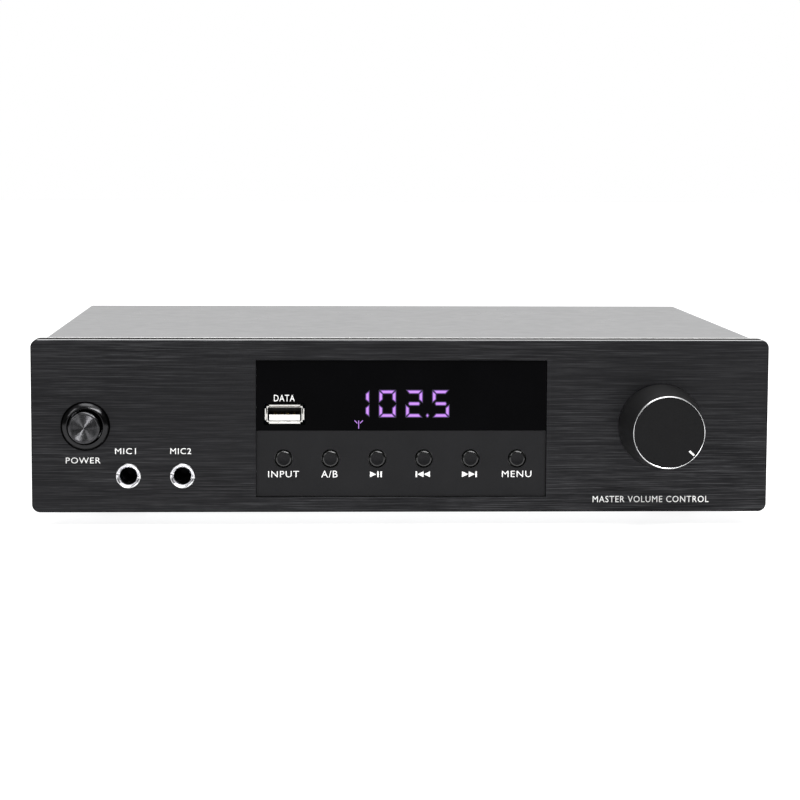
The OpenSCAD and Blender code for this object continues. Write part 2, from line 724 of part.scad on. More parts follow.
// Mains leads along the left wall from the inlet to the power switch and on to the
// transformer, its three secondary leads to the main board, and the earth lead to the pan.
module wire_harness() color([0.35, 0.2, 0.12]) {
    wire(smooth([[-110, 172, 34.5], [-110, 167, 34.5], [-118, 154, 26], [-123, 140, 20],
        [-124, 110, 18], [-124, 80, 18], [-123, 55, 22], [-119, 43, 31],
        [-118.3, 35, 33.7], [-118.3, 30.2, 33.7]]), 1.2);
    wire(smooth([[-96, 172, 34.5], [-96, 167, 34.5], [-106, 157, 22], [-116, 145, 14],
        [-120, 132, 12], [-124, 110, 12], [-124, 80, 12], [-120, 55, 18],
        [-114, 43, 30], [-112.3, 35, 33.7], [-112.3, 30.2, 33.7]]), 1.2);
    wire(smooth([[-118.3, 30.2, 39.7], [-118.3, 35, 39.7], [-112, 46, 37],
        [-101, 51, 30], [-97.9, 58.2, 28], [-95.9, 63.9, 28]]), 1.2);
    wire(smooth([[-112.3, 30.2, 39.7], [-112.3, 35, 39.7], [-104, 45, 37],
        [-93, 49, 32], [-91, 56.2, 30], [-90, 62.2, 30]]), 1.2);
    for (y = [93, 98, 103])
        wire(smooth([[-48, y, 26], [-45.5, y, 26], [-42.5, y, 22.8], [-39.5, y, 19.6],
            [-37, y, 19.6]]), 0.9);
    wire(smooth([[-103, 172, 39], [-103, 167, 39], [-96, 158, 36], [-90, 156, 24],
        [-90, 156, 8]]), 1.2);
}

// ---------------------------------------------------------------- rear connectors

module phono_housing() color([0.08, 0.08, 0.08]) difference() {
    block([phono_x[0] - 8, 179, board_top], [phono_x[2] + 8, rear_y - sheet, phono_z[1] + 9]);
    for (x = phono_x, z = phono_z)
        rod_y(x, z, 184, 200, phono_seat_r);
    for (x = phono_screw_x)
        rod_y(x, phono_screw_z, 186, 200, 1.4);
}

module phono_sleeves() color([0.85, 0.85, 0.86])
    for (x = phono_x, z = phono_z)
        turned_y(x, z, [[3.55, 184], [phono_seat_r, 184], [phono_seat_r, rear_y + 1.8],
            [phono_r, rear_y + 1.8], [phono_r, rear_y + phono_out - 0.3],
            [phono_r - 0.25, rear_y + phono_out], [3.75, rear_y + phono_out],
            [3.55, rear_y + phono_out - 0.3]]);

// Coloured collar round the sleeve and insulator inside it.
module phono_insert(x, z) {
    turned_y(x, z, [[phono_seat_r, rear_y], [6.4, rear_y], [6.4, rear_y + 1.2],
        [5.8, rear_y + 1.8], [phono_seat_r, rear_y + 1.8]]);
    turned_y(x, z, [[1.65, 184], [3.55, 184], [3.55, rear_y + phono_out - 1.2],
        [2.1, rear_y + phono_out - 1.2], [1.65, rear_y + phono_out - 1.7]]);
}

module phono_inserts_white() color([0.92, 0.92, 0.9])
    for (x = phono_x)
        phono_insert(x, phono_z[1]);

module phono_inserts_red() color([0.75, 0.06, 0.05])
    for (x = phono_x)
        phono_insert(x, phono_z[0]);

function term_cell_x(i) = term_x + (i - 1.5) * term_pitch;

module terminal_housing() color([0.07, 0.07, 0.075]) difference() {
    union() {
        round_plate(term_x, 74, term_row_z[0] - 10.5, term_row_z[1] + 10.5,
            rear_y, rear_y + 3, 1.5);
        block([term_x - 34, 180, term_row_z[0] - 8.5], [term_x + 34, rear_y, term_row_z[1] + 8.5]);
        block([term_x - 34, 180, board_top], [term_x + 34, rear_y - sheet, term_row_z[0]]);
    }
    for (x = term_screw_x)
        rod_y(x, term_screw_z, 188, 200, 1.5);
    for (i = [0:3], z = term_row_z) {
        // pocket of the lever, open at the back
        translate([term_cell_x(i), 0, z])
            block([-lever_w / 2 - 0.3, lever_y - 2.8, -1.4],
                [lever_w / 2 + 0.3, rear_y + 4, lever_up + 2.6]);
        // seats of the lever's pivot stubs
        translate([term_cell_x(i), lever_y, z + lever_up]) rotate([0, 90, 0])
            cylinder(h = lever_w + 3.4, r = pin_r + run, center = true);
        // square wire hole with a funnel mouth
        translate([term_cell_x(i), 0, z - 5])
            block([-1.5, 187, -1.5], [1.5, rear_y + 4, 1.5]);
        rod_y(term_cell_x(i), z - 5, rear_y + 1.4, rear_y + 3 + eps, 2, 3);
    }
}

// Sprung clamp lever: barrel and stubs on its pivot, arm, and a ribbed thumb tab.
module lever(i, row) {
    translate([term_cell_x(i), lever_y, term_row_z[row] + lever_up]) {
        difference() {
            rotate([90, 0, 90]) linear_extrude(lever_w, center = true) {
                circle(2.2);
                translate([0, -1.8]) square([lever_tip - 3, 3.6]);
                translate([11.4, -2.3]) square([lever_tip - 13.4, 4.6]);
                translate([lever_tip - 2, -2.3]) square([1, 4.6]);
                translate([lever_tip - 1, -2.3]) square([1, 3.6]);
                translate([lever_tip - 1, 1.3]) circle(1);
            }
            for (k = [0:2])
                translate([-6, 12.2 + k * 1.3, 2]) cube([12, 0.5, 1]);
        }
        rotate([0, 90, 0]) cylinder(h = lever_w + 2.6, r = pin_r, center = true);
    }
}
module red_lever(i, row) color([0.72, 0.05, 0.04]) lever(i, row);
module black_lever(i, row) color([0.05, 0.05, 0.05]) lever(i, row);

// Screened tuner can on the board's wing, with its screw-on antenna socket and hex nut.
module tuner_module() color([0.85, 0.85, 0.86]) difference() {
    union() {
        block([tuner_x - 10, 152, board_top], [tuner_x + 10, rear_y - sheet, tuner_z + 10]);
        rod_y(tuner_x, tuner_z, 190, rear_y + phono_out, tuner_r);
        translate([tuner_x, rear_y, tuner_z]) rotate([-90, 0, 0])
            cylinder(h = 2.2, r = 6.6, $fn = 6);
    }
    rod_y(tuner_x, tuner_z, rear_y + phono_out - 0.8, rear_y + phono_out + eps, 3.8);
    rod_y(tuner_x, tuner_z, rear_y + 2, rear_y + phono_out + eps, 0.7);
}

// Chamfered outline of the mains inlet's hollow, the narrow side up.
module inlet_outline(w, h, c)
    polygon([[-w / 2, -h / 2], [w / 2, -h / 2], [w / 2, h / 2 - c], [w / 2 - c, h / 2],
        [-w / 2 + c, h / 2], [-w / 2, h / 2 - c]]);

module mains_inlet() color([0.06, 0.06, 0.06]) difference() {
    union() {
        round_plate(inlet_x, 31, inlet_z - 12, inlet_z + 12, rear_y, rear_y + 2.6, 2);
        block([inlet_x - 13.3, 178, inlet_z - 9.8], [inlet_x + 13.3, rear_y, inlet_z + 9.8]);
    }
    translate([inlet_x, rear_y + 3, inlet_z]) rotate([90, 0, 0])
        linear_extrude(17) inlet_outline(24.2, 16.6, 4);
}

module inlet_pins() color([0.8, 0.8, 0.8])
    for (p = [[-7, -1.5], [0, 3], [7, -1.5]])
        translate([inlet_x + p[0], 0, inlet_z + p[1]]) {
            block([-1, rear_y - 14, -2], [1, rear_y + 0.5, 2]);
            block([-2.4, 172, -0.4], [2.4, 178, 0.4]);
        }

// ---------------------------------------------------------------- nodes

place() faceplate();
place() display_window();
place() button_panel();
place() power_bezel();
place() power_button();
place() power_plunger();
place() power_switch();
place() push_button(0);  // button_input
place() push_button(1);  // button_speakers
place() push_button(2);  // button_play
place() push_button(3);  // button_previous
place() push_button(4);  // button_next
place() push_button(5);  // button_menu
place() volume_knob();
place() knob_insert();
place() encoder_shaft();
place() encoder_body();
place() encoder_nut();
place() mic_jack(0);  // mic_jack_1
place() mic_jack(1);  // mic_jack_2
place() mic_jack_housings();
place() media_port_shell();
place() media_port_tongue();
place() control_board();
place() display_module();
place() tact_switches();
place() front_subpanel();
place() chassis_base();
place() rear_panel();
place() top_cover();
place() rubber_feet();
place() case_screws();
place() board_screws();
place() board_standoffs();
place() main_board();
place() decoder_board();
place() heatsink();
place() amplifier_chips();
place() filter_capacitors();
place() board_components();
place() toroid_transformer();
place() toroid_clamp();
place() ribbon_cable();
place() wire_harness();
place() phono_housing();
place() phono_sleeves();
place() phono_inserts_white();
place() phono_inserts_red();
place() terminal_housing();
place() red_lever(0, 1);  // lever_a_left_plus
place() black_lever(1, 1);  // lever_a_left_minus
place() red_lever(2, 1);  // lever_a_right_plus
place() black_lever(3, 1);  // lever_a_right_minus
place() red_lever(0, 0);  // lever_b_left_plus
place() black_lever(1, 0);  // lever_b_left_minus
place() red_lever(2, 0);  // lever_b_right_plus
place() black_lever(3, 0);  // lever_b_right_minus
place() tuner_module();
place() mains_inlet();
place() inlet_pins();
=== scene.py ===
import bpy
from math import pi, radians
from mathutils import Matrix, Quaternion, Vector


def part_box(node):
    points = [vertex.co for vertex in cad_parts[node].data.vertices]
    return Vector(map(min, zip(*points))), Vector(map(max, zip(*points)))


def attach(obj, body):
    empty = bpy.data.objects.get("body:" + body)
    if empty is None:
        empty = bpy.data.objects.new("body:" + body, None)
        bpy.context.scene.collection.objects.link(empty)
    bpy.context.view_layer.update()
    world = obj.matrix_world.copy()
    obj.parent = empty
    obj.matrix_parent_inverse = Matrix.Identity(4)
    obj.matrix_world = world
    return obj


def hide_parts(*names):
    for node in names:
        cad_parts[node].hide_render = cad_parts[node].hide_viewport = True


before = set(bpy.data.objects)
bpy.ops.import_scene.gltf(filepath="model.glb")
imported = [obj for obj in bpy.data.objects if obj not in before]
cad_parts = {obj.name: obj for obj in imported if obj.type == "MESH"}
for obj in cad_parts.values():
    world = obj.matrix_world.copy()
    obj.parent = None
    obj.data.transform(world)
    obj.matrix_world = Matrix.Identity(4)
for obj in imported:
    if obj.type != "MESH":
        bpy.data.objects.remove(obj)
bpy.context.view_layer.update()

# ---------------------------------------------------------------- camera, floor and studio
# The receiver stands on a lit white table in a tent. The camera is a little above it and to
# its left, and aims at the middle of the faceplate. Soft boxes hang above and at both sides.

MM = 0.001
face_low, face_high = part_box("faceplate")
FRONT = face_low.y
FACE_FOOT = face_low.z
FACE_TOP = face_high.z

LENS = 107.27
EYE = Vector((-0.0361, FRONT - 0.8668, FACE_FOOT + 0.1302))
TARGET = Vector((-0.00062, FRONT, FACE_FOOT + 0.04139))
TILT = 0.0043

camera_data = bpy.data.cameras.new("camera")
camera_data.lens = LENS
camera_data.sensor_width = 36
camera = bpy.data.objects.new("camera", camera_data)
bpy.context.collection.objects.link(camera)
camera.location = EYE
level = (TARGET - camera.location).to_track_quat("-Z", "Y")
camera.rotation_euler = (level @ Quaternion((0, 0, 1), TILT)).to_euler()
bpy.context.scene.camera = camera
bpy.context.scene.view_settings.view_transform = "Standard"


class Value:
    """A shader socket that takes part in Python arithmetic, each step as a Math node."""

    def __init__(self, socket):
        self.socket = socket

    def node(self, kind, settings=(), sockets=(), output=0):
        """Any node of this socket's material: its settings first, then values or links."""
        node = self.socket.node.id_data.nodes.new("ShaderNode" + kind)
        for key, setting in dict(settings).items():
            if key == "stops":
                ramp = node.color_ramp.elements
                while len(ramp) < len(setting):
                    ramp.new(1)
                for element, (place, colour) in zip(ramp, setting):
                    element.position = place
                    element.color = (*colour, 1)
            else:
                setattr(node, key, setting)
        for key, given in dict(sockets).items():
            if isinstance(given, Value):
                node.id_data.links.new(given.socket, node.inputs[key])
            else:
                node.inputs[key].default_value = given
        return Value(node.outputs[output])

    def maths(self, operation, *numbers):
        return self.node("Math", {"operation": operation}, dict(enumerate(numbers)))

    def __add__(self, other):
        return self.maths("ADD", self, other)

    def __sub__(self, other):
        return self.maths("SUBTRACT", self, other)

    def __rsub__(self, other):
        return self.maths("SUBTRACT", other, self)

    def __mul__(self, other):
        return self.maths("MULTIPLY", self, other)

    def __gt__(self, other):
        return self.maths("GREATER_THAN", self, other)

    def __lt__(self, other):
        return self.maths("LESS_THAN", self, other)

    def __or__(self, other):
        return self.maths("MAXIMUM", self, other)

    def __abs__(self):
        return self.maths("ABSOLUTE", self)

    __radd__ = __add__
    __rmul__ = __mul__

    def sine(self):
        return self.maths("SINE", self)

    def stretched(self, x, y, z):
        """The same place with each axis stretched, so that noise on it runs along one axis."""
        return self.node("VectorMath", {"operation": "MULTIPLY"}, {0: self, 1: (x, y, z)})

    def centred(self, x, y, z):
        """The same place measured from the point x, y, z."""
        return self.node("VectorMath", {"operation": "SUBTRACT"}, {0: self, 1: (x, y, z)})

    def noise(self, scale=1, detail=2, roughness=0.5):
        return self.node("TexNoise", {}, {"Vector": self, "Scale": scale, "Detail": detail,
                                          "Roughness": roughness})

    def ramp(self, *stops):
        """Greys or colours at given places of a 0 to 1 number."""
        stops = [(at, (c, c, c) if isinstance(c, float) else c) for at, c in stops]
        return self.node("ValToRGB", {"stops": stops}, {"Fac": self})

    def blend(self, first, second):
        """first where this number is 0, second where it is 1; colours."""
        first, second = ((*c, 1) if isinstance(c, tuple) else c for c in (first, second))
        return self.node("Mix", {"data_type": "RGBA"},
                         {"Factor": self, 6: first, 7: second}, 2)

    def bump(self, height, strength=1.0):
        """A normal from this number as a height in metres."""
        return self.node("Bump", {}, {"Height": self, "Distance": height,
                                      "Strength": strength})

    def xyz(self):
        parts = self.node("SeparateXYZ", {}, {"Vector": self}).socket.node
        return [Value(socket) for socket in parts.outputs]


def finish(name, colour=(0.5, 0.5, 0.5), roughness=0.5, metallic=0.0, **settings):
    """A principled material with constant settings; returns it with its surface and place."""
    material = bpy.data.materials.new(name)
    material.use_nodes = True
    nodes = material.node_tree.nodes
    surface = nodes["Principled BSDF"].inputs
    surface["Base Color"].default_value = (*colour, 1)
    surface["Roughness"].default_value = roughness
    surface["Metallic"].default_value = metallic
    for key, setting in settings.items():
        surface[key.replace("_", " ").title().replace("Ior", "IOR")].default_value = setting
    place = Value(nodes.new("ShaderNodeTexCoord").outputs["Object"])
    return material, surface, place


def feed(surface, **links):
    """Links values that change over the surface to the sockets of a principled shader."""
    for key, value in links.items():
        socket = surface[key.replace("_", " ").title()]
        value.socket.node.id_data.links.new(value.socket, socket)


def soft_box(name, place, target, width, height, power, colour=(1, 1, 1)):
    data = bpy.data.lights.new(name, "AREA")
    data.shape = "RECTANGLE"
    data.size = width
    data.size_y = height
    data.energy = power
    data.color = colour
    light = bpy.data.objects.new(name, data)
    bpy.context.collection.objects.link(light)
    light.location = place
    direction = Vector(target) - Vector(place)
    light.rotation_euler = direction.to_track_quat("-Z", "Y").to_euler()


soft_box("top_box", (0.1, 0.15, 1.1), (0, 0, 0), 1.6, 1.0, 8)
soft_box("key_box", (0.28, FRONT - 0.45, 0.7), (0.02, FRONT, 0.04), 0.7, 0.2, 8)
soft_box("left_box", (-0.7, FRONT - 0.5, 0.55), (0, FRONT, 0.04), 0.3, 0.5, 2.5)
overhead = bpy.data.lights.new("overhead", "SUN")
overhead.energy = 1.6
overhead.angle = radians(40)
lamp = bpy.data.objects.new("overhead", overhead)
bpy.context.collection.objects.link(lamp)

world = bpy.data.worlds.new("white_tent")
world.use_nodes = True
sky = Value(world.node_tree.nodes.new("ShaderNodeTexCoord").outputs["Generated"])
aside, ahead = sky.xyz()[:2]
sides = abs(aside).ramp((0.3, 1.0), (0.75, 0.2))
tent = (ahead * 0.5 + 0.5).ramp((0.1, 0.22), (0.45, 0.55), (0.6, 1.0)) * sides
background = world.node_tree.nodes["Background"]
world.node_tree.links.new(tent.socket, background.inputs["Color"])
background.inputs["Strength"].default_value = 1.0
bpy.context.scene.world = world

bpy.ops.object.select_all(action="DESELECT")
bpy.ops.mesh.primitive_plane_add(size=12, location=(0, 0, 0))
table = bpy.context.object
table.name = "table_top"
white_table, surface, place = finish("white_table", (0.3, 0.3, 0.3), 0.6,
                                     emission_color=(1, 1, 1, 1), emission_strength=0.85)
feed(surface, roughness=place.noise(30) * 0.1 + 0.55)
table.data.materials.append(white_table)

# ---------------------------------------------------------------- faceplate
# A slab of aluminium, brushed along its length in fine strokes, chamfered round the front and
# anodised black. The upper part of the top chamfer is painted paler as a highlight, and the top
# side is painted nearly black as shade. Screws from behind hold it.

CHAMFER = 0.5 * MM
PAINTED_HIGHLIGHT_BAND = 0.4 * CHAMFER
SKIN = 0.02 * MM


def dress(material, *nodes):
    """Gives CAD nodes their finish."""
    for node in nodes:
        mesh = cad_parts[node].data
        mesh.materials.clear()
        mesh.materials.append(material)


black_anodised, surface, place = finish(
    "brushed_black_anodising", roughness=0.4, specular_tint=(0.12, 0.12, 0.12, 1))
fine = place.stretched(60, 60, 4200).noise(1, 3, 0.7)
broad = place.stretched(30, 30, 1900).noise(1, 3, 0.6)
patches = place.stretched(7, 7, 26).noise(1, 2).ramp((0.35, 0.35), (0.65, 1.0))
strokes = (fine * 0.7 + broad * 0.3 - 0.5) * patches + 0.5
y, z = place.xyz()[1:]
# The upper part of the top chamfer is painted paler here, as a highlight line.
cut = (y < FRONT + CHAMFER + SKIN) * (z > FACE_TOP - PAINTED_HIGHLIGHT_BAND)
# The top side is painted nearly black here as shade, darker than the anodising.
painted_shade_top = (y > FRONT + CHAMFER + SKIN) * (z > FACE_TOP - SKIN)
colour = strokes.ramp((0.34, (0.008, 0.008, 0.009)), (0.5, (0.022, 0.022, 0.0235)),
                      (0.66, (0.07, 0.07, 0.074)))
feed(surface, base_color=painted_shade_top.blend(cut.blend(colour, (0.15, 0.15, 0.15)), (0.003, 0.003, 0.003)),
     metallic=(cut | painted_shade_top) * 0.1 + 0.9, roughness=(0.52 - strokes * 0.28) * (1 - cut) + cut * 0.2,
     normal=(strokes * (1 - (cut | painted_shade_top))).bump(0.00003, 0.5))
dress(black_anodised, "faceplate")

# ---------------------------------------------------------------- window and button panel
# The window is polished black acrylic over the display. The button panel below it is moulded
# in dark grey with a fine matte texture. Both press into the faceplate's opening from behind.

acrylic, surface, place = finish("black_acrylic", specular_ior_level=0.02)
haze = place.noise(60, 4)
feed(surface, base_color=haze.ramp((0.3, (0.0006, 0.0006, 0.0008)), (0.7, (0.001, 0.001, 0.0013))),
     roughness=haze * 0.06 + 0.05, normal=place.noise(35, 1).bump(0.0002, 0.05))
dress(acrylic, "display_window")

panel_grey, surface, place = finish("matte_grey_moulding", specular_ior_level=0.15)
grain = place.noise(2600, 3, 0.6)
feed(surface, base_color=(grain * 0.6 + place.noise(90) * 0.4).ramp(
    (0.3, (0.0075, 0.0075, 0.0083)), (0.7, (0.011, 0.011, 0.012))),
    roughness=grain * 0.2 + 0.48, normal=grain.bump(0.00002, 0.5))
dress(panel_grey, "button_panel")

# ---------------------------------------------------------------- push buttons
# Six round caps of satin black plastic, dished for a fingertip, with a glossy rounded rim.
# A flange behind the panel keeps each from falling out, and its stem presses a switch.

RIM_FROM = 2.4 * MM


def middle(node):
    low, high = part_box(node)
    return (low + high) / 2


def alone(add, **where):
    """Adds a primitive with nothing else selected and returns its object."""
    bpy.ops.object.select_all(action="DESELECT")
    add(**where)
    return bpy.context.object


def settle(piece, name, *materials):
    """Names a piece, puts its place into its mesh and gives it its materials."""
    bpy.ops.object.transform_apply(location=True, rotation=True, scale=True)
    piece.name = name
    piece.data.name = name
    for material in materials:
        piece.data.materials.append(material)
    return piece


def turned(name, centre, outline, *materials, steps=96, crease=35, axis=(0, 1, 0)):
    """Lathe work on an axis through centre: the outline's points, in millimetres from the
    axis and along it from the centre, are drawn one after another and spun once round."""
    axis = Vector(axis)
    points = [centre + (Vector((radius, 0, 0)) + axis * along) * MM for radius, along in outline]
    piece = alone(bpy.ops.mesh.primitive_plane_add, size=MM, location=points[0])
    bpy.ops.object.mode_set(mode="EDIT")
    bpy.ops.mesh.select_mode(type="VERT")
    bpy.ops.mesh.select_all(action="SELECT")
    bpy.ops.mesh.merge(type="CENTER")
    for start, end in zip(points, points[1:]):
        bpy.ops.mesh.extrude_vertices_move(TRANSFORM_OT_translate={"value": end - start})
    bpy.ops.mesh.select_all(action="SELECT")
    bpy.ops.mesh.spin(steps=steps, angle=2 * pi, center=centre, axis=axis)
    bpy.ops.mesh.select_all(action="SELECT")
    bpy.ops.mesh.remove_doubles(threshold=0.002 * MM)
    bpy.ops.mesh.normals_make_consistent(inside=False)
    bpy.ops.object.mode_set(mode="OBJECT")
    bpy.ops.object.shade_smooth_by_angle(angle=radians(crease))
    return settle(piece, name, *materials)


def copy_of(piece, name, x=0, y=0, z=0):
    """The same shape again with its own mesh, moved, and not yet fitted to anything."""
    bpy.ops.object.select_all(action="DESELECT")
    twin = bpy.data.objects.new(name, piece.data.copy())
    bpy.context.collection.objects.link(twin)
    twin.location = (x, y, z)
    bpy.context.view_layer.objects.active = twin
    twin.select_set(True)
    return settle(twin, name)


def fit(piece, body, slot, *nodes):
    """The piece moves with a body and stands for CAD nodes, which are hidden. The slot is not
    used.
    """
    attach(piece, body)
    if nodes:
        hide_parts(*nodes)


satin_cap, surface, place = finish("satin_black_cap", specular_ior_level=0.12)
grain = place.noise(3200, 2)
feed(surface, base_color=grain.ramp((0.3, (0.006, 0.006, 0.0066)), (0.7, (0.009, 0.009, 0.0098))),
     roughness=grain * 0.14 + 0.24, normal=grain.bump(0.000012, 0.4))
glossy_rim, surface, place = finish("glossy_black_rim", specular_ior_level=0.6)
grain = place.noise(900, 2)
feed(surface, base_color=grain.ramp((0.3, (0.003, 0.003, 0.003)), (0.7, (0.005, 0.005, 0.005))),
     roughness=grain * 0.1 + 0.1)

key_low, key_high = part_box("button_input")
first_key = middle("button_input")
key_face = Vector((first_key.x, key_low.y, first_key.z))
key_long = (key_high.y - key_low.y) / MM
cap = turned("cap_input", key_face, [
    (0, 0.3), (1.2, 0.26), (1.9, 0.13), (2.2, 0.02), (2.35, 0), (2.55, 0.06), (2.76, 0.22),
    (2.94, 0.45), (3.08, 0.75), (3.15, 1.1), (3.15, 3.0), (4.05, 3.0), (4.05, 3.8), (2.3, 3.8),
    (1.7, 4.4), (1.7, key_long), (0, key_long)], satin_cap, glossy_rim, steps=64, crease=50)
for face in cap.data.polygons:
    if (face.center - first_key).xz.length > RIM_FROM:
        face.material_index = 1
for key in ("input", "speakers", "play", "previous", "next", "menu"):
    if key != "input":
        cap = copy_of(cap, "cap_" + key, middle("button_" + key).x - last_x)
    last_x = middle("button_" + key).x
    fit(cap, "key_" + key, "button_black", "button_" + key)

# ---------------------------------------------------------------- power button
# A cap of dark anodised aluminium, its face spun in fine concentric grooves, slides in a
# polished bezel whose outside slopes back to the faceplate.

PITCH = 0.225
GROOVE = 0.075
GROOVES = 22
FACE_DEEP = 0.5 * MM

spun, surface, place = finish("spun_dark_face", metallic=1.0, specular_tint=(0.4, 0.4, 0.4, 1))
grain = place.noise(900, 2)
feed(surface, base_color=grain.ramp((0.3, (0.035, 0.035, 0.037)), (0.7, (0.065, 0.065, 0.068))),
     roughness=grain * 0.12 + 0.18)
dark_polish, surface, place = finish("polished_dark_anodising", metallic=1.0,
                                     specular_tint=(0.4, 0.4, 0.4, 1))
lines = place.stretched(30, 5200, 30).noise(1, 3)
feed(surface, base_color=lines.ramp((0.3, (0.018, 0.018, 0.019)), (0.7, (0.036, 0.036, 0.037))),
     roughness=lines * 0.12 + 0.12, normal=lines.bump(0.000008, 0.4))

power_low, power_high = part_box("power_button")
centre = middle("power_button")
centre.y = power_low.y
cap_r = (power_high.x - power_low.x) / 2 / MM
grooves = [(0, GROOVE)]
for ring in range(1, GROOVES + 1):
    grooves += [(ring * PITCH - PITCH / 2, 0.0), (ring * PITCH, GROOVE)]
edge = [(cap_r - 0.75, 0.0), (cap_r - 0.55, 0.02), (cap_r - 0.12, 0.42), (cap_r, 0.7)]
body = [(cap_r, 10.2), (cap_r - 1.4, 10.2), (cap_r - 1.4, 6.6), (0, 6.6)]
cap = turned("power_cap", centre, grooves + edge + body, spun, dark_polish, crease=60)
for face in cap.data.polygons:
    if face.center.y > power_low.y + FACE_DEEP:
        face.material_index = 1
fit(cap, "power", "spun_metal", "power_button")

centre.y = FRONT
bezel = turned("power_bezel_ring", centre, [
    (6.3, 7.8), (6.3, -2.2), (6.36, -2.42), (6.5, -2.55), (6.7, -2.6), (6.95, -2.56),
    (7.25, -2.4), (7.7, -2.08), (8.15, -1.68), (8.55, -1.24), (8.83, -0.85), (8.97, -0.5),
    (9, -0.3), (9, 0), (7.4, 0), (7.4, 7.8), (6.3, 7.8)], dark_polish, steps=128, crease=50)
fit(bezel, "receiver", "bezel_metal", "power_bezel")

# ---------------------------------------------------------------- volume knob
# Turned from a bar of aluminium as a slight cone and anodised black, with a bright ring cut
# after anodising, a matte recessed face and a filled white pointer. It presses on its insert.

knob_low, knob_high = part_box("volume_knob")
knob_face = middle("volume_knob")
knob_face.y = knob_low.y
foot_r = (knob_high.x - knob_low.x) / 2 / MM
knob_long = (knob_high.y - knob_low.y) / MM
RING_R = 13.2
FACE_R = 12.74
RECESS = 0.31
RING_DEEP = 0.5

satin_knob, surface, place = finish("satin_black_anodising", metallic=0.9,
                                    specular_tint=(0.9, 0.9, 0.9, 1))
turning = place.stretched(0, 3000, 0).noise(1, 4, 0.7)
feed(surface, base_color=turning.ramp((0.3, (0.05, 0.05, 0.051)), (0.7, (0.09, 0.09, 0.092))),
     roughness=turning * 0.16 + 0.22)
matte_face, surface, place = finish("matte_black_face", specular_ior_level=0.1)
grain = place.noise(2400, 3)
feed(surface, base_color=grain.ramp((0.3, (0.005, 0.005, 0.0053)), (0.7, (0.008, 0.008, 0.0085))),
     roughness=grain * 0.16 + 0.5, normal=grain.bump(0.000015, 0.5))
bright_cut, surface, place = finish("bright_cut_aluminium", roughness=0.15, metallic=1.0)
grain = place.noise(1200, 3)
feed(surface, base_color=grain.ramp((0.3, (0.78, 0.78, 0.79)), (0.7, (0.9, 0.9, 0.91))),
     roughness=grain * 0.1 + 0.1)

knob = turned("volume_knob_shell", knob_face, [
    (0, 0.3), (12.6, 0.3), (12.72, 0.22), (12.76, 0.05), (12.83, 0), (12.92, 0.02),
    (RING_R - 0.03, 0.45), (RING_R, 0.6), (RING_R + 0.03, 0.9), (foot_r - 0.06, knob_long - 0.9),
    (foot_r, knob_long - 0.7), (foot_r, knob_long - 0.2), (foot_r - 0.2, knob_long),
    (11.5, knob_long), (11.5, 3), (0, 3)], satin_knob, matte_face, bright_cut,
    steps=160, crease=20)
for face in knob.data.polygons:
    deep = (face.center.y - knob_low.y) / MM
    out = ((face.center.x - knob_face.x) ** 2 + (face.center.z - knob_face.z) ** 2) ** 0.5 / MM
    if deep < RECESS and out < FACE_R:
        face.material_index = 1
    elif deep < RING_DEEP and out > FACE_R:
        face.material_index = 2
fit(knob, "volume", "knob_black", "volume_knob")


def rounded(piece, width, crease, segments=2, sharp=30):
    """Rounds the edges sharper than an angle in degrees, and shades the piece."""
    rounding = piece.modifiers.new("rounding", "BEVEL")
    rounding.width = width
    rounding.segments = segments
    rounding.limit_method = "ANGLE"
    rounding.angle_limit = radians(sharp)
    bpy.ops.object.modifier_apply(modifier="rounding")
    bpy.ops.object.shade_smooth_by_angle(angle=radians(crease))


def block(name, low, high, bevel, *materials, segments=2):
    """A moulded or cut block between two corners, its edges rounded."""
    low, high = Vector(low), Vector(high)
    piece = alone(bpy.ops.mesh.primitive_cube_add, size=1, location=(low + high) / 2,
                  scale=high - low)
    bpy.ops.object.transform_apply(location=False, rotation=False, scale=True)
    rounded(piece, bevel, 40, segments)
    return settle(piece, name, *materials)


white_ink, surface, place = finish("white_ink", roughness=0.5)
grain = place.noise(1500, 3)
feed(surface, base_color=grain.ramp((0.25, (0.72, 0.72, 0.71)), (0.6, (0.88, 0.88, 0.87))),
     roughness=grain * 0.2 + 0.4)

POINTER_AT = -42
POINTER_FROM, POINTER_TO = 9.9 * MM, 12.3 * MM
POINTER_HALF = 0.36 * MM
POINTER_THICK = 0.16 * MM
pointer = block("knob_pointer", (POINTER_FROM, 0, -POINTER_HALF),
                (POINTER_TO, POINTER_THICK, POINTER_HALF), 0.06 * MM, white_ink)
pointer.rotation_euler = (0, radians(-POINTER_AT), 0)
pointer.location = knob_face + Vector((0, 0.2 * MM, 0))
settle(pointer, "knob_pointer")
fit(pointer, "volume", "white_plastic")

# ---------------------------------------------------------------- microphone jacks
# Chrome-plated bushings for 6.35 mm plugs, countersunk at the mouth. Two notches in the rim
# take the spanner that tightens each from the front. A slotted black housing shows inside.

chrome, surface, place = finish("bright_chrome", roughness=0.1, metallic=1.0)
grain = place.noise(700, 3)
feed(surface, base_color=grain.ramp((0.3, (0.72, 0.72, 0.74)), (0.7, (0.84, 0.84, 0.86))),
     roughness=grain * 0.08 + 0.2)
NOTCH_AT = -12
NOTCH = (12 * MM, 3 * MM, 0.85 * MM)

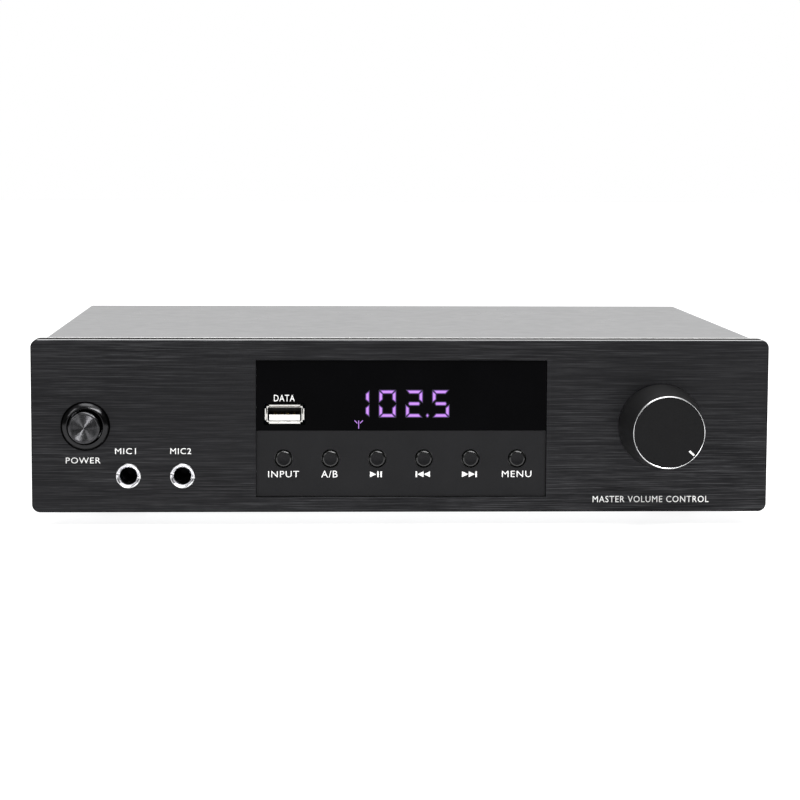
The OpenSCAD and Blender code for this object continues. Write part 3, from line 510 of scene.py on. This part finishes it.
for number in (1, 2):
    jack_low, jack_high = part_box(f"mic_jack_{number}")
    mouth = middle(f"mic_jack_{number}")
    mouth.y = jack_low.y
    long = (jack_high.y - jack_low.y) / MM
    jack = turned(f"jack_bushing_{number}", mouth, [
        (3.25, long), (3.25, 0.9), (3.3, 0.8), (4.0, 0.12), (4.1, 0.04), (4.22, 0),
        (4.38, 0.04), (4.47, 0.14), (4.5, 0.3), (4.5, long), (3.25, long)], chrome,
        steps=96, crease=30)
    notches = alone(bpy.ops.mesh.primitive_cube_add, size=1, location=mouth, scale=NOTCH)
    notches.rotation_euler = (0, radians(-NOTCH_AT), 0)
    cut = jack.modifiers.new("notches", "BOOLEAN")
    cut.object = notches
    cut.operation = "DIFFERENCE"
    bpy.context.view_layer.objects.active = jack
    bpy.ops.object.modifier_apply(modifier="notches")
    bpy.data.objects.remove(notches)
    fit(jack, "receiver", "bright_chrome", f"mic_jack_{number}")

# ---------------------------------------------------------------- lettering on the front
# Plain white words and signs, silkscreened on the faceplate and the panels after their
# finish: a layer of ink a few hundredths of a millimetre thick.

INK = 0.03 * MM
SPACING = 1.12
PANEL_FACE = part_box("button_panel")[0].y
KEY_LINE = FACE_FOOT + 12.6 * MM
MARK_AT = KEY_LINE + 1.3 * MM
MARK_HIGH = 2.2 * MM


def pick(piece, test):
    """Edit mode on the piece, with only the vertices selected whose place passes the test."""
    bpy.ops.object.mode_set(mode="EDIT")
    bpy.ops.mesh.select_mode(type="VERT")
    bpy.ops.mesh.select_all(action="DESELECT")
    bpy.ops.object.mode_set(mode="OBJECT")
    for vertex in piece.data.vertices:
        vertex.select = test(vertex.co)
    bpy.ops.object.mode_set(mode="EDIT")


def joined(name, parts):
    """One piece from several."""
    bpy.ops.object.select_all(action="DESELECT")
    for part in parts:
        part.select_set(True)
    bpy.context.view_layer.objects.active = parts[0]
    bpy.ops.object.join()
    return settle(parts[0], name)


def lettering(words, x, foot, y, width, cap, turn=0):
    """Printed words centred at x on the baseline foot, in millimetres, on a face at y."""
    name = "label_" + "".join(c if c.isalnum() else "_" for c in words.lower())
    piece = alone(bpy.ops.object.text_add)
    piece.data.body = words
    piece.data.space_character = SPACING
    piece.data.extrude = 0.5
    piece.data.resolution_u = 3
    bpy.ops.object.convert(target="MESH")
    bpy.ops.object.mode_set(mode="EDIT")
    bpy.ops.mesh.select_all(action="SELECT")
    bpy.ops.mesh.remove_doubles(threshold=0.0004)
    bpy.ops.object.mode_set(mode="OBJECT")
    across = [vertex.co.x for vertex in piece.data.vertices]
    up = [vertex.co.y for vertex in piece.data.vertices]
    wide = width * MM / (max(across) - min(across))
    high = cap * MM / (max(up) - min(up))
    out = -1 if turn == 0 else 1
    centre = (max(across) + min(across)) / 2 * wide
    piece.scale = (wide, high, INK)
    piece.rotation_euler = (pi / 2, 0, turn)
    piece.location = (x * MM + out * centre, y + out * INK / 2, foot * MM - min(up) * high)
    fit(settle(piece, name, white_ink), "receiver", "white_plastic")


for words, x, above, width, cap in (
        ("POWER", -116.2, 18.1, 12.6, 2.2), ("MIC1", -100.8, 21.5, 7.6, 2.2),
        ("MIC2", -80.7, 21.5, 7.6, 2.2), ("MASTER VOLUME CONTROL", 92.1, 3.5, 43, 2.35)):
    lettering(words, x, FACE_FOOT / MM + above, FRONT, width, cap)
for words, x, above, width, cap in (
        ("INPUT", -43.2, 12.8, 11.3, 2.35), ("A/B", -26.4, 12.7, 6.0, 2.6),
        ("MENU", 42.5, 12.8, 10.9, 2.35), ("DATA", -42.9, 40.8, 7.6, 2.4)):
    lettering(words, x, FACE_FOOT / MM + above, PANEL_FACE, width, cap)


def mark(kind, left, width):
    """A bar, or a triangle that points left or right, printed on the button panel."""
    piece = alone(bpy.ops.mesh.primitive_cube_add, size=1,
                  location=(left + width / 2, PANEL_FACE - INK / 2, MARK_AT),
                  scale=(width, INK, MARK_HIGH))
    bpy.ops.object.transform_apply()
    if kind != "bar":
        tip = left + (width if kind == "right" else 0)
        pick(piece, lambda place: abs(place.x - tip) < 0.1 * width)
        bpy.ops.transform.resize(value=(1, 1, 0))
        bpy.ops.mesh.remove_doubles(threshold=0.001 * MM)
        bpy.ops.object.mode_set(mode="OBJECT")
    return piece


for key, x, marks in (
        ("play", -11.5, (("right", 0, 2.3), ("bar", 2.65, 0.6), ("bar", 3.8, 0.6))),
        ("previous", 5.25, (("bar", 0, 0.6), ("left", 0.7, 2.25), ("left", 3.05, 2.25))),
        ("next", 22.35, (("right", 0, 2.35), ("right", 2.45, 2.35), ("bar", 4.9, 0.6)))):
    sign = joined("sign_" + key, [mark(kind, (x + left) * MM, width * MM)
                                  for kind, left, width in marks])
    sign.data.materials.append(white_ink)
    fit(sign, "receiver", "white_plastic")

# ---------------------------------------------------------------- display
# Four violet seven-segment digits shine through the dark window, and lie as a thin layer on
# its face, each bar fading at its edge. They show a radio frequency, above a small aerial.

DIGIT = Vector((6.5, 0, 10.3)) * MM
BAR = 1.6 * MM
GAP = 0.12 * MM
FADE = 0.5 * MM
MITRE = 1.7
THIN = 0.42 * MM
FIRST_DIGIT = Vector((-14.95 * MM, PANEL_FACE, FACE_FOOT + 39.95 * MM))
DIGIT_PITCH = 9.78 * MM

violet, surface, place = finish("violet_segments", (0.004, 0.002, 0.006), emission_strength=1.0)
glow = place.node("Attribute", {"attribute_name": "glow"}, {}, 2)
shimmer = place.noise(1400, 2) * 0.1 - 0.05
feed(surface, emission_color=(glow + shimmer * glow).ramp(
    (0.0, 0.0), (0.4, (0.03, 0.006, 0.09)), (0.7, (0.24, 0.06, 0.52)),
    (0.9, (0.56, 0.22, 0.9)), (1.0, (0.66, 0.3, 0.97))), roughness=shimmer + 0.3)


def lit_bar(x, z, length, turn, thick=BAR, pointed=False):
    """A lit bar at x, z, lying along X before it turns; its upper side is the long one."""
    if pointed:
        bar = alone(bpy.ops.mesh.primitive_cylinder_add, vertices=6, radius=thick / 3 ** 0.5,
                    depth=INK, rotation=(pi / 2, 0, 0))
        bpy.ops.object.transform_apply()
        bpy.ops.transform.rotate(value=pi / 2, orient_axis="Y", center_override=(0, 0, 0))
        bpy.ops.object.transform_apply()
        half = length / 2 - thick / 3 ** 0.5
        for side in (1, -1):
            pick(bar, lambda place: place.x * side > 0)
            bpy.ops.transform.translate(value=(side * half, 0, 0))
    else:
        bar = alone(bpy.ops.mesh.primitive_cube_add, size=1, scale=(length, INK, thick))
        bpy.ops.object.transform_apply()
        pick(bar, lambda place: place.z < 0)
        bpy.ops.transform.resize(value=((length - MITRE * thick) / length, 1, 1))
    bpy.ops.object.mode_set(mode="OBJECT")
    bpy.ops.object.mode_set(mode="EDIT")
    bpy.ops.mesh.select_mode(type="FACE")
    bpy.ops.mesh.select_all(action="DESELECT")
    bpy.ops.object.mode_set(mode="OBJECT")
    for face in bar.data.polygons:
        face.select = face.normal.y < -0.9
    bpy.ops.object.mode_set(mode="EDIT")
    bpy.ops.mesh.inset(thickness=min(FADE, thick * 0.3))
    bpy.ops.object.mode_set(mode="OBJECT")
    core = bar.data.attributes.new("glow", "FLOAT", "POINT")
    for vertex, light in zip(bar.data.vertices, core.data):
        light.value = float(vertex.select)
    bar.rotation_euler = (0, turn, 0)
    bar.location = (x, PANEL_FACE - INK / 2, z)
    bpy.ops.object.transform_apply()
    return bar


side, level, quarter = (DIGIT.x - BAR) / 2, (DIGIT.z - BAR) / 2, DIGIT.z / 4
flat, upright = DIGIT.x - 2 * GAP, DIGIT.z / 2 - 2 * GAP
SEGMENTS = {"a": (0, level, flat, 0), "d": (0, -level, flat, pi),
            "b": (side, quarter, upright, pi / 2), "c": (side, -quarter, upright, pi / 2),
            "e": (-side, -quarter, upright, -pi / 2), "f": (-side, quarter, upright, -pi / 2)}
digits = []
for count, lit in enumerate(("bc", "abcdef", "abedg", "afcdg")):
    x = FIRST_DIGIT.x + count * DIGIT_PITCH
    for letter in lit:
        if letter == "g":
            digits.append(lit_bar(x, FIRST_DIGIT.z, flat - BAR, 0, pointed=True))
        else:
            right, up, length, turn = SEGMENTS[letter]
            digits.append(lit_bar(x + right, FIRST_DIGIT.z + up, length, turn))
digits.append(lit_bar(FIRST_DIGIT.x + 2.5 * DIGIT_PITCH, FIRST_DIGIT.z - level, 1.5 * MM, 0,
                      pointed=True))
digits = joined("display_digits", digits)
digits.data.materials.append(violet)
fit(digits, "receiver", "display_glow")

foot = FIRST_DIGIT.z - 7.6 * MM
aerial = joined("display_aerial", [
    lit_bar(-15.7 * MM, foot - 0.1 * MM, 3.2 * MM, pi / 2, THIN, True),
    lit_bar(-16.7 * MM, foot + 0.9 * MM, 1.7 * MM, radians(45), THIN, True),
    lit_bar(-14.7 * MM, foot + 0.9 * MM, 1.7 * MM, radians(-45), THIN, True)])
aerial.data.materials.append(violet)
fit(aerial, "receiver", "display_glow")

# ---------------------------------------------------------------- media port
# A socket for a flash drive: a shell of nickel-plated sheet with flared lips, painted dark inside
# as shade. In its lower half is a tongue, white at its tip and dark further in, with four gilt
# contacts.

LIP_DEEP = 1.0 * MM
TIP_DEEP = 0.3 * MM


def moulded(name, dark, light, rough=0.5, scale=2400, height=0.015):
    """Moulded plastic or rubber with a fine eroded surface and slight clouding."""
    material, surface, place = finish(name)
    grain = place.noise(scale, 3)
    tone = (grain * 0.6 + place.noise(90) * 0.4).ramp((0.3, dark), (0.7, light))
    feed(surface, base_color=tone, roughness=grain * 0.2 + (rough - 0.1),
         normal=grain.bump(height * MM, 0.5))
    return material


def plated(name, dark, light, rough=0.2, along=(1, 1, 1), scale=500, height=0.004):
    """Bare or plated metal, with polishing or rolling marks stretched along one axis."""
    material, surface, place = finish(name, metallic=1.0)
    lines = place.stretched(*along).noise(scale, 4, 0.6)
    stains = place.noise(70, 3)
    tone = (lines * 0.6 + stains * 0.4).ramp((0.3, dark), (0.7, light))
    feed(surface, base_color=tone, roughness=lines * 0.2 + stains * 0.1 + (rough - 0.15),
         normal=lines.bump(height * MM, 0.4))
    return material


nickel = plated("bright_nickel", (0.62, 0.61, 0.59), (0.78, 0.77, 0.75), 0.2)
port_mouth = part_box("media_port_shell")[0].y
port_steel, surface, place = finish("port_steel", metallic=1.0)
lines = place.stretched(1, 30, 1).noise(150, 3)
# Beyond the lips the shell is painted dark, as shade inside the socket.
painted_shade_inside = place.xyz()[1] > port_mouth + LIP_DEEP
steel = lines.ramp((0.3, (0.6, 0.59, 0.57)), (0.7, (0.76, 0.75, 0.73)))
feed(surface, base_color=painted_shade_inside.blend(steel, (0.05, 0.05, 0.05)),
     roughness=lines * 0.15 + painted_shade_inside * 0.2 + 0.12)
gilt = plated("gilt_contact", (0.72, 0.48, 0.16), (0.88, 0.66, 0.28), 0.25)
white_nylon = moulded("white_nylon", (0.76, 0.76, 0.74), (0.86, 0.86, 0.84), 0.4)
dress(port_steel, "media_port_shell")
tongue_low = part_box("media_port_tongue")[0]
tongue_tip, surface, place = finish("white_tipped_tongue")
grain = place.noise(1800, 3)
# Behind a thin white tip the tongue is coloured nearly black.
deep = place.xyz()[1] > tongue_low.y + TIP_DEEP
white = grain.ramp((0.3, (0.74, 0.74, 0.72)), (0.7, (0.86, 0.86, 0.84)))
feed(surface, base_color=deep.blend(white, (0.03, 0.03, 0.03)), roughness=grain * 0.2 + 0.3)
dress(tongue_tip, "media_port_tongue")
tongue_x = middle("media_port_tongue").x
tongue_top = tongue_low.z + 2.25 * MM
contact = block("port_contact_1", (tongue_x - 4 * MM, tongue_low.y + 0.9 * MM, tongue_top),
                (tongue_x - 3 * MM, tongue_low.y + 8 * MM, tongue_top + 0.12 * MM),
                0.05 * MM, gilt)
for number, x in enumerate((0, 2.5, 4.5, 7)):
    piece = contact if x == 0 else copy_of(contact, f"port_contact_{number + 1}", x * MM)
    fit(piece, "receiver", "brass_post")

# ---------------------------------------------------------------- folded top cover
# One sheet of steel bent into a U, slotted in both sides for cooling and finished in a dark
# satin powder coat. A pale strip along its front top edge, behind the faceplate, is a painted
# highlight.

COVER_HIGHLIGHT_WIDTH = 1.2 * MM
COVER_HIGHLIGHT_DROP = 0.62 * MM
cover_low, cover_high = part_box("top_cover")
cover_paint, surface, place = finish("satin_powder_coat", specular_ior_level=0.5)
peel = place.noise(180, 2)
dust = place.noise(30, 2)
y, z = place.xyz()[1:]
# The pale strip along the front top edge is a painted highlight.
painted_highlight_strip = (y < cover_low.y + COVER_HIGHLIGHT_WIDTH) * (z > cover_high.z - COVER_HIGHLIGHT_DROP)
paint = (peel * 0.4 + dust * 0.6).ramp((0.2, (0.076, 0.076, 0.079)), (0.8, (0.09, 0.09, 0.093)))
feed(surface, base_color=painted_highlight_strip.blend(paint, (0.5, 0.5, 0.5)),
     roughness=peel * 0.1 + dust * 0.06 + 0.22)
dress(cover_paint, "top_cover")

# ---------------------------------------------------------------- rear panel and its lettering
# Steel sheet in matte black paint, slotted above the phono sockets and screwed to the pan and
# the cover's lip. Plain white words beside each socket say what it is for.

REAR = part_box("rear_panel")[1].y
rear_paint = moulded("matte_rear_paint", (0.014, 0.014, 0.015), (0.026, 0.026, 0.028), 0.5, 1500,
                     0.03)
dress(rear_paint, "rear_panel")
for words, x, foot, width, cap in (
        ("AC IN", -103, 51, 9.5, 2.2), ("ANTENNA", -66, 53.5, 15, 2.2),
        ("OUT", -42, 18.6, 5.6, 2), ("CD", -26, 18.6, 3.6, 2), ("AUX", -10, 18.6, 5.6, 2),
        ("L", 0.8, 45, 1.4, 2), ("R", 0.8, 29, 1.6, 2),
        ("SPEAKERS", 66, 58.1, 15, 1.9), ("A", 107, 46, 2.6, 3), ("B", 107, 27, 2.6, 3),
        ("4 - 16 OHM", 66, 12.2, 15, 2)):
    lettering(words, x, foot, REAR, width, cap, turn=pi)
BLOCK_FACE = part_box("terminal_housing")[1].y
for row, foot in (("a", 55.2), ("b", 36.3)):
    for half in ("left", "right"):
        for sign in ("plus", "minus"):
            x = middle(f"lever_{row}_{half}_{sign}").x / MM
            plain = block(f"sign_{row}_{half}_{sign}",
                          ((x - 0.7) * MM, BLOCK_FACE, (foot + 0.55) * MM),
                          ((x + 0.7) * MM, BLOCK_FACE + INK, (foot + 0.85) * MM),
                          INK / 4, white_ink)
            if sign == "plus":
                cross = block("upright", ((x - 0.15) * MM, BLOCK_FACE, foot * MM),
                              ((x + 0.15) * MM, BLOCK_FACE + INK * 1.1, (foot + 1.4) * MM),
                              INK / 4, white_ink)
                plain = joined(plain.name, [plain, cross])
            fit(plain, "receiver", "white_plastic")

# ---------------------------------------------------------------- phono sockets
# Six nickel sleeves in one black block, each with a coloured collar and an insulator round
# its centre contact: white above for the left channel, red below for the right.

SLEEVE = [(3.55, -11), (4.7, -11), (4.7, 1.8), (4.15, 1.8), (4.15, 9.55), (4.09, 9.82),
          (3.93, 9.97), (3.75, 10), (3.6, 9.86), (3.55, 9.6), (3.55, -11)]
COLLAR = [(4.71, 0.01), (6.3, 0.01), (6.4, 0.12), (6.4, 1.1), (6.27, 1.42), (5.85, 1.76),
          (5.7, 1.8), (4.8, 1.8), (4.71, 1.72), (4.71, 0.01)]
INSULATOR = [(1.65, -11), (3.54, -11), (3.54, 8.55), (3.42, 8.76), (3.2, 8.8), (2.2, 8.8),
             (1.85, 8.62), (1.65, 8.25), (1.65, -11)]
white_plastic = moulded("white_socket_plastic", (0.72, 0.72, 0.7), (0.84, 0.84, 0.82), 0.35)
red_plastic = moulded("red_socket_plastic", (0.42, 0.012, 0.01), (0.56, 0.022, 0.018), 0.35)
black_plastic = moulded("black_socket_plastic", (0.012, 0.012, 0.0125), (0.024, 0.024, 0.025), 0.5)
dress(black_plastic, "phono_housing")
sockets = [(x, z) for x in (-42, -26, -10) for z in (46, 30)]
first = Vector((sockets[0][0] * MM, REAR, sockets[0][1] * MM))
sleeve = turned("phono_sleeve_1", first, SLEEVE, nickel, steps=64)
rings = {}
for colour, plastic in (("white", white_plastic), ("red", red_plastic)):
    rings[colour] = joined("phono_insert_" + colour, [
        turned("collar", first, COLLAR, plastic, steps=64),
        turned("insulator", first, INSULATOR, plastic, steps=48)])
for number, (x, z) in enumerate(sockets):
    moved = {"x": (x - sockets[0][0]) * MM, "z": (z - sockets[0][1]) * MM}
    piece = sleeve if number == 0 else copy_of(sleeve, f"phono_sleeve_{number + 1}", **moved)
    fit(piece, "receiver", "bright_chrome", "phono_sleeves")
    colour = "white" if z == sockets[0][1] else "red"
    piece = copy_of(rings[colour], f"phono_insert_{colour}_{number // 2 + 1}", **moved)
    fit(piece, "receiver", colour + "_plastic", "phono_inserts_" + colour)
for ring in rings.values():
    bpy.data.objects.remove(ring)

# ---------------------------------------------------------------- speaker terminals
# A moulded black block with eight sprung levers, red for plus and black for minus. Pressing
# a lever's ribbed tab opens the clamp behind its wire hole.


def refined(node, name, rounding, material):
    """A merged copy of a CAD mesh with its sharp edges rounded."""
    piece = copy_of(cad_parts[node], name)
    piece.data.materials.clear()
    piece.data.materials.append(material)
    bpy.ops.object.mode_set(mode="EDIT")
    bpy.ops.mesh.select_all(action="SELECT")
    bpy.ops.mesh.remove_doubles(threshold=0.002 * MM)
    bpy.ops.mesh.dissolve_limited(angle_limit=radians(0.5))
    bpy.ops.object.mode_set(mode="OBJECT")
    rounded(piece, rounding, 30, sharp=40)
    return piece


terminal_black = moulded("terminal_black", (0.011, 0.011, 0.0115), (0.021, 0.021, 0.022), 0.42)
lever_red = moulded("lever_red", (0.4, 0.01, 0.008), (0.52, 0.018, 0.014), 0.32, 1800)
lever_black = moulded("lever_black", (0.012, 0.012, 0.0125), (0.022, 0.022, 0.023), 0.32, 1800)
fit(refined("terminal_housing", "terminal_block", 0.2 * MM, terminal_black), "receiver",
    "black_plastic", "terminal_housing")
for row in "ab":
    for half in ("left", "right"):
        for sign, plastic, slot in (("plus", lever_red, "red_plastic"),
                                    ("minus", lever_black, "black_plastic")):
            node = f"lever_{row}_{half}_{sign}"
            lever = refined(node, node.replace("lever", "clamp_lever"), 0.14 * MM, plastic)
            fit(lever, node, slot, node)

# ---------------------------------------------------------------- mains inlet
# A moulded three-pin inlet, fixed in the rear panel, with plated brass pins. The lead that
# plugs into it is not part of the receiver.

fit(refined("mains_inlet", "inlet_body", 0.3 * MM, terminal_black), "receiver",
    "black_plastic", "mains_inlet")
fit(refined("inlet_pins", "inlet_blades", 0.25 * MM, nickel), "receiver", "bright_chrome",
    "inlet_pins")

# ---------------------------------------------------------------- tuner and antenna socket
# A can of tinned sheet stands on the main board's wing. Its nickel-plated screw socket comes
# through the rear panel and is held by a hex nut.

THREAD = 0.79
TURNS = 10
PANEL_GAP = 1.02 * MM
can_low, can_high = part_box("tuner_module")
tuner_x = middle("tuner_module").x
tinned = plated("tinned_sheet", (0.5, 0.5, 0.49), (0.66, 0.66, 0.65), 0.32, (1, 1, 6), 60, 0.01)
can = block("tuner_can", (can_low.x, can_low.y, can_low.z),
            (can_high.x, REAR - PANEL_GAP, can_high.z), 0.4 * MM, tinned, segments=3)
fit(can, "receiver", "zinc_steel", "tuner_module")
axis = Vector((tuner_x, REAR, 42 * MM))
threads = [(4.4, 10), (4.6, 9.85)]
for turn in range(TURNS):
    threads += [(4.74, 9.6 - turn * THREAD), (4.42, 9.6 - (turn + 0.5) * THREAD)]
barrel = turned("antenna_barrel", axis, [
    (0, 2), (0.75, 2), (0.75, 8), (3.8, 8), (3.8, 9.85), (3.95, 10)] + threads
    + [(4.74, 1.6), (4.74, -5), (0, -5)], nickel, steps=64, crease=25)
fit(barrel, "receiver", "bright_chrome", "tuner_module")
core = turned("antenna_insulator", axis, [
    (0.78, 8), (0.78, 9.05), (0.92, 9.2), (3.6, 9.2), (3.79, 9.05), (3.79, 8), (0.78, 8)],
    white_nylon, steps=48)
fit(core, "receiver", "white_plastic", "tuner_module")
nut = alone(bpy.ops.mesh.primitive_cylinder_add, vertices=6, radius=6.6 * MM, depth=2.2 * MM,
            location=axis + Vector((0, 1.1 * MM, 0)), rotation=(pi / 2, 0, 0))
rounded(nut, 0.25 * MM, 30)
fit(settle(nut, "antenna_nut", nickel), "receiver", "bright_chrome", "tuner_module")

# ---------------------------------------------------------------- feet and case screws
# Four moulded rubber feet, each held by a screw in its recess, and black pan-head screws
# with cross recesses that hold the cover, the pan, the rear panel and its sockets.

rubber = moulded("foot_rubber_black", (0.012, 0.012, 0.012), (0.022, 0.022, 0.021), 0.75, 1100,
                 0.03)
screw_black = plated("black_zinc", (0.03, 0.03, 0.032), (0.07, 0.07, 0.074), 0.35)
feet_low, feet_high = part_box("rubber_feet")
FOOT_R = 9.8
corner = Vector((feet_high.x - FOOT_R * MM, feet_high.y - FOOT_R * MM, 0))
foot_1 = turned("foot_1", corner, [
    (1.8, 3), (3.9, 3), (4, 2.9), (4, 0.25), (4.15, 0.05), (4.35, 0), (7.9, 0), (8.2, 0.1),
    (8.75, 0.55), (8.98, 0.85), (9.02, 1.1), (9.75, 6.6), (FOOT_R, 6.85), (FOOT_R, 7), (1.8, 7),
    (1.8, 3)], rubber, steps=72, crease=40, axis=(0, 0, 1))
across = feet_high.x - feet_low.x - 2 * FOOT_R * MM
along = feet_high.y - feet_low.y - 2 * FOOT_R * MM
for number, (x, y) in enumerate(((0, 0), (-across, 0), (0, -along), (-across, -along))):
    piece = foot_1 if number == 0 else copy_of(foot_1, f"foot_{number + 1}", x, y)
    fit(piece, "receiver", "foot_rubber", "rubber_feet")
fit(refined("case_screws", "case_screw_set", 0.12 * MM, screw_black), "receiver", "screw_black",
    "case_screws")

# ---------------------------------------------------------------- pan and subpanel
# Folded sheet steel, zinc plated: the pan with its cooling slots, and the upright subpanel
# that carries the faceplate, the boards and the switches. Plating shows a faint spangle.

zinc, surface, place = finish("zinc_spangle", metallic=1.0)
spangle = place.node("TexVoronoi", {}, {"Vector": place, "Scale": 260.0}, 1) * 1
rolled = place.stretched(1, 14, 1).noise(120, 3)
feed(surface, base_color=(spangle * 0.45 + rolled * 0.55).ramp(
    (0.25, (0.42, 0.43, 0.45)), (0.75, (0.6, 0.61, 0.63))),
    roughness=spangle * 0.16 + rolled * 0.1 + 0.22, normal=rolled.bump(0.00001, 0.3))
dress(zinc, "chassis_base", "front_subpanel")

# ---------------------------------------------------------------- circuit boards
# Glass-fibre boards under green or blue solder mask. Copper tracks show through the mask,
# and each joint is a small dot of solder.


def circuit(name, mask, track):
    material, surface, place = finish(name, specular_ior_level=0.5)
    run = place.node("TexBrick", {"offset": 0.37, "squash": 0.6, "squash_frequency": 3},
                     {"Vector": place, "Scale": 70.0, "Mortar Size": 0.035,
                      "Mortar Smooth": 0.2, "Brick Width": 0.9, "Row Height": 0.28}, 1)
    joints = place.node("TexVoronoi", {}, {"Vector": place, "Scale": 210.0}) < 0.16
    weave = place.noise(1500, 2)
    tone = run.blend(weave.ramp((0.3, tuple(c * 0.8 for c in mask)), (0.7, mask)), track)
    feed(surface, base_color=joints.blend(tone, (0.62, 0.62, 0.6)), metallic=joints * 0.9,
         roughness=weave * 0.15 + 0.22, normal=(run * 0.5 + joints).bump(0.00004, 0.5))
    return material


dress(circuit("green_solder_mask", (0.012, 0.1, 0.035), (0.03, 0.2, 0.075)),
      "main_board", "control_board")
dress(circuit("blue_solder_mask", (0.01, 0.04, 0.15), (0.03, 0.1, 0.28)), "decoder_board")
dress(plated("turned_brass", (0.55, 0.36, 0.13), (0.75, 0.54, 0.22), 0.28, (1, 1, 12), 90),
      "board_standoffs")
dress(plated("bright_zinc", (0.5, 0.51, 0.53), (0.68, 0.69, 0.71), 0.3), "board_screws",
      "toroid_clamp", "encoder_nut", "encoder_body", "encoder_shaft")

# ---------------------------------------------------------------- amplifier and power supply
# Two plastic power chips are screwed to an extruded heatsink. The toroid is wound with
# enamelled copper under clear tape, and the capacitors wear heat-shrunk sleeves.

STRANDS = 190
LID = 0.9 * MM
COILS_FROM = Vector((30, 95, 0)) * MM
DARK_FROM = 70 * MM

dress(plated("extruded_aluminium", (0.5, 0.5, 0.51), (0.72, 0.72, 0.73), 0.35, (1, 1, 0.05), 900,
             0.012), "heatsink")
dress(moulded("chip_epoxy", (0.014, 0.014, 0.015), (0.026, 0.026, 0.027), 0.55, 3000),
      "amplifier_chips")
copper, surface, place = finish("enamelled_copper", metallic=0.7, coat_weight=0.6,
                                coat_roughness=0.1)
x, y = place.centred(*middle("toroid_transformer")).xyz()[:2]
angle = x.maths("ARCTAN2", y, x)
strands = (angle * STRANDS).sine() * 0.5 + 0.5
layers = place.noise(160, 3)
feed(surface, base_color=(strands * 0.6 + layers * 0.4).ramp(
    (0.15, (0.22, 0.07, 0.02)), (0.5, (0.5, 0.2, 0.06)), (0.9, (0.74, 0.38, 0.14))),
    roughness=layers * 0.25 + 0.18, normal=strands.bump(0.00025, 0.6))
dress(copper, "toroid_transformer")
sleeve_blue, surface, place = finish("capacitor_sleeve_blue", specular_ior_level=0.5)
lid = place.xyz()[2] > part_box("filter_capacitors")[1].z - LID
wraps = place.noise(300, 3)
blue = wraps.ramp((0.3, (0.012, 0.02, 0.075)), (0.7, (0.022, 0.034, 0.12)))
feed(surface, base_color=lid.blend(blue, (0.6, 0.6, 0.62)),
     metallic=lid * 0.9, roughness=wraps * 0.2 + 0.2, normal=wraps.bump(0.00003, 0.3))
dress(sleeve_blue, "filter_capacitors")
parts, surface, place = finish("board_part_plastics", specular_ior_level=0.4)
x, y = place.xyz()[:2]
board_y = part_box("main_board")[0].y
wound = (y > board_y + COILS_FROM.y) * (x > COILS_FROM.x)
dark = (y > board_y + DARK_FROM) * (1 - wound)
turns = place.stretched(1, 1, 22).noise(90, 2)
plain = wound.blend((0.62, 0.62, 0.58), (0.42, 0.16, 0.05))
feed(surface, base_color=dark.blend(plain, (0.02, 0.02, 0.021)), metallic=wound * 0.6,
     roughness=turns * 0.3 + 0.25, normal=(turns * wound).bump(0.0003, 0.5))
dress(parts, "board_components")

# ---------------------------------------------------------------- wiring
# A grey ribbon cable folds down from the control board. Round leads in PVC run to the mains
# switch and the transformer: brown and blue for the mains, red for the transformer's other
# side and green for the earth.

CORE_PITCH = 1.27 * MM
SECONDARY_FROM = -60 * MM
EARTH_FROM = Vector((-104, 60, 38)) * MM
BROWN_BELOW = 24 * MM

ribbon, surface, place = finish("grey_ribbon", specular_ior_level=0.35)
cores = (place.xyz()[0] * (2 * pi / CORE_PITCH)).sine() * 0.5 + 0.5
dull = place.noise(700, 2)
feed(surface, base_color=(cores * 0.5 + dull * 0.5).ramp((0.2, (0.3, 0.3, 0.3)),
                                                         (0.8, (0.5, 0.5, 0.49))),
     roughness=dull * 0.2 + 0.4, normal=cores.bump(0.0003, 0.6))
dress(ribbon, "ribbon_cable")
pvc, surface, place = finish("wire_pvc_colours", specular_ior_level=0.5)
x, y, z = place.xyz()
secondary = x > SECONDARY_FROM
earth = (x > EARTH_FROM.x) * (y > EARTH_FROM.y) * (z > EARTH_FROM.z)
low = z < BROWN_BELOW
sheen = place.noise(420, 3)
mains = low.blend(sheen.ramp((0.3, (0.13, 0.05, 0.02)), (0.7, (0.19, 0.075, 0.03))),
                  (0.02, 0.07, 0.32))
tone = secondary.blend(mains, (0.5, 0.02, 0.016))
feed(surface, base_color=earth.blend(tone, (0.06, 0.3, 0.05)), roughness=sheen * 0.2 + 0.3,
     normal=sheen.bump(0.00005, 0.4))
dress(pvc, "wire_harness")

# ---------------------------------------------------------------- controls behind the front
# The power switch and its plunger, the knob's insert, the jacks' housings, the tact switches
# and the digit block are moulded parts in black or natural nylon.

dress(black_plastic, "power_switch", "knob_insert", "mic_jack_housings", "tact_switches",
      "display_module")
dress(white_nylon, "power_plunger")
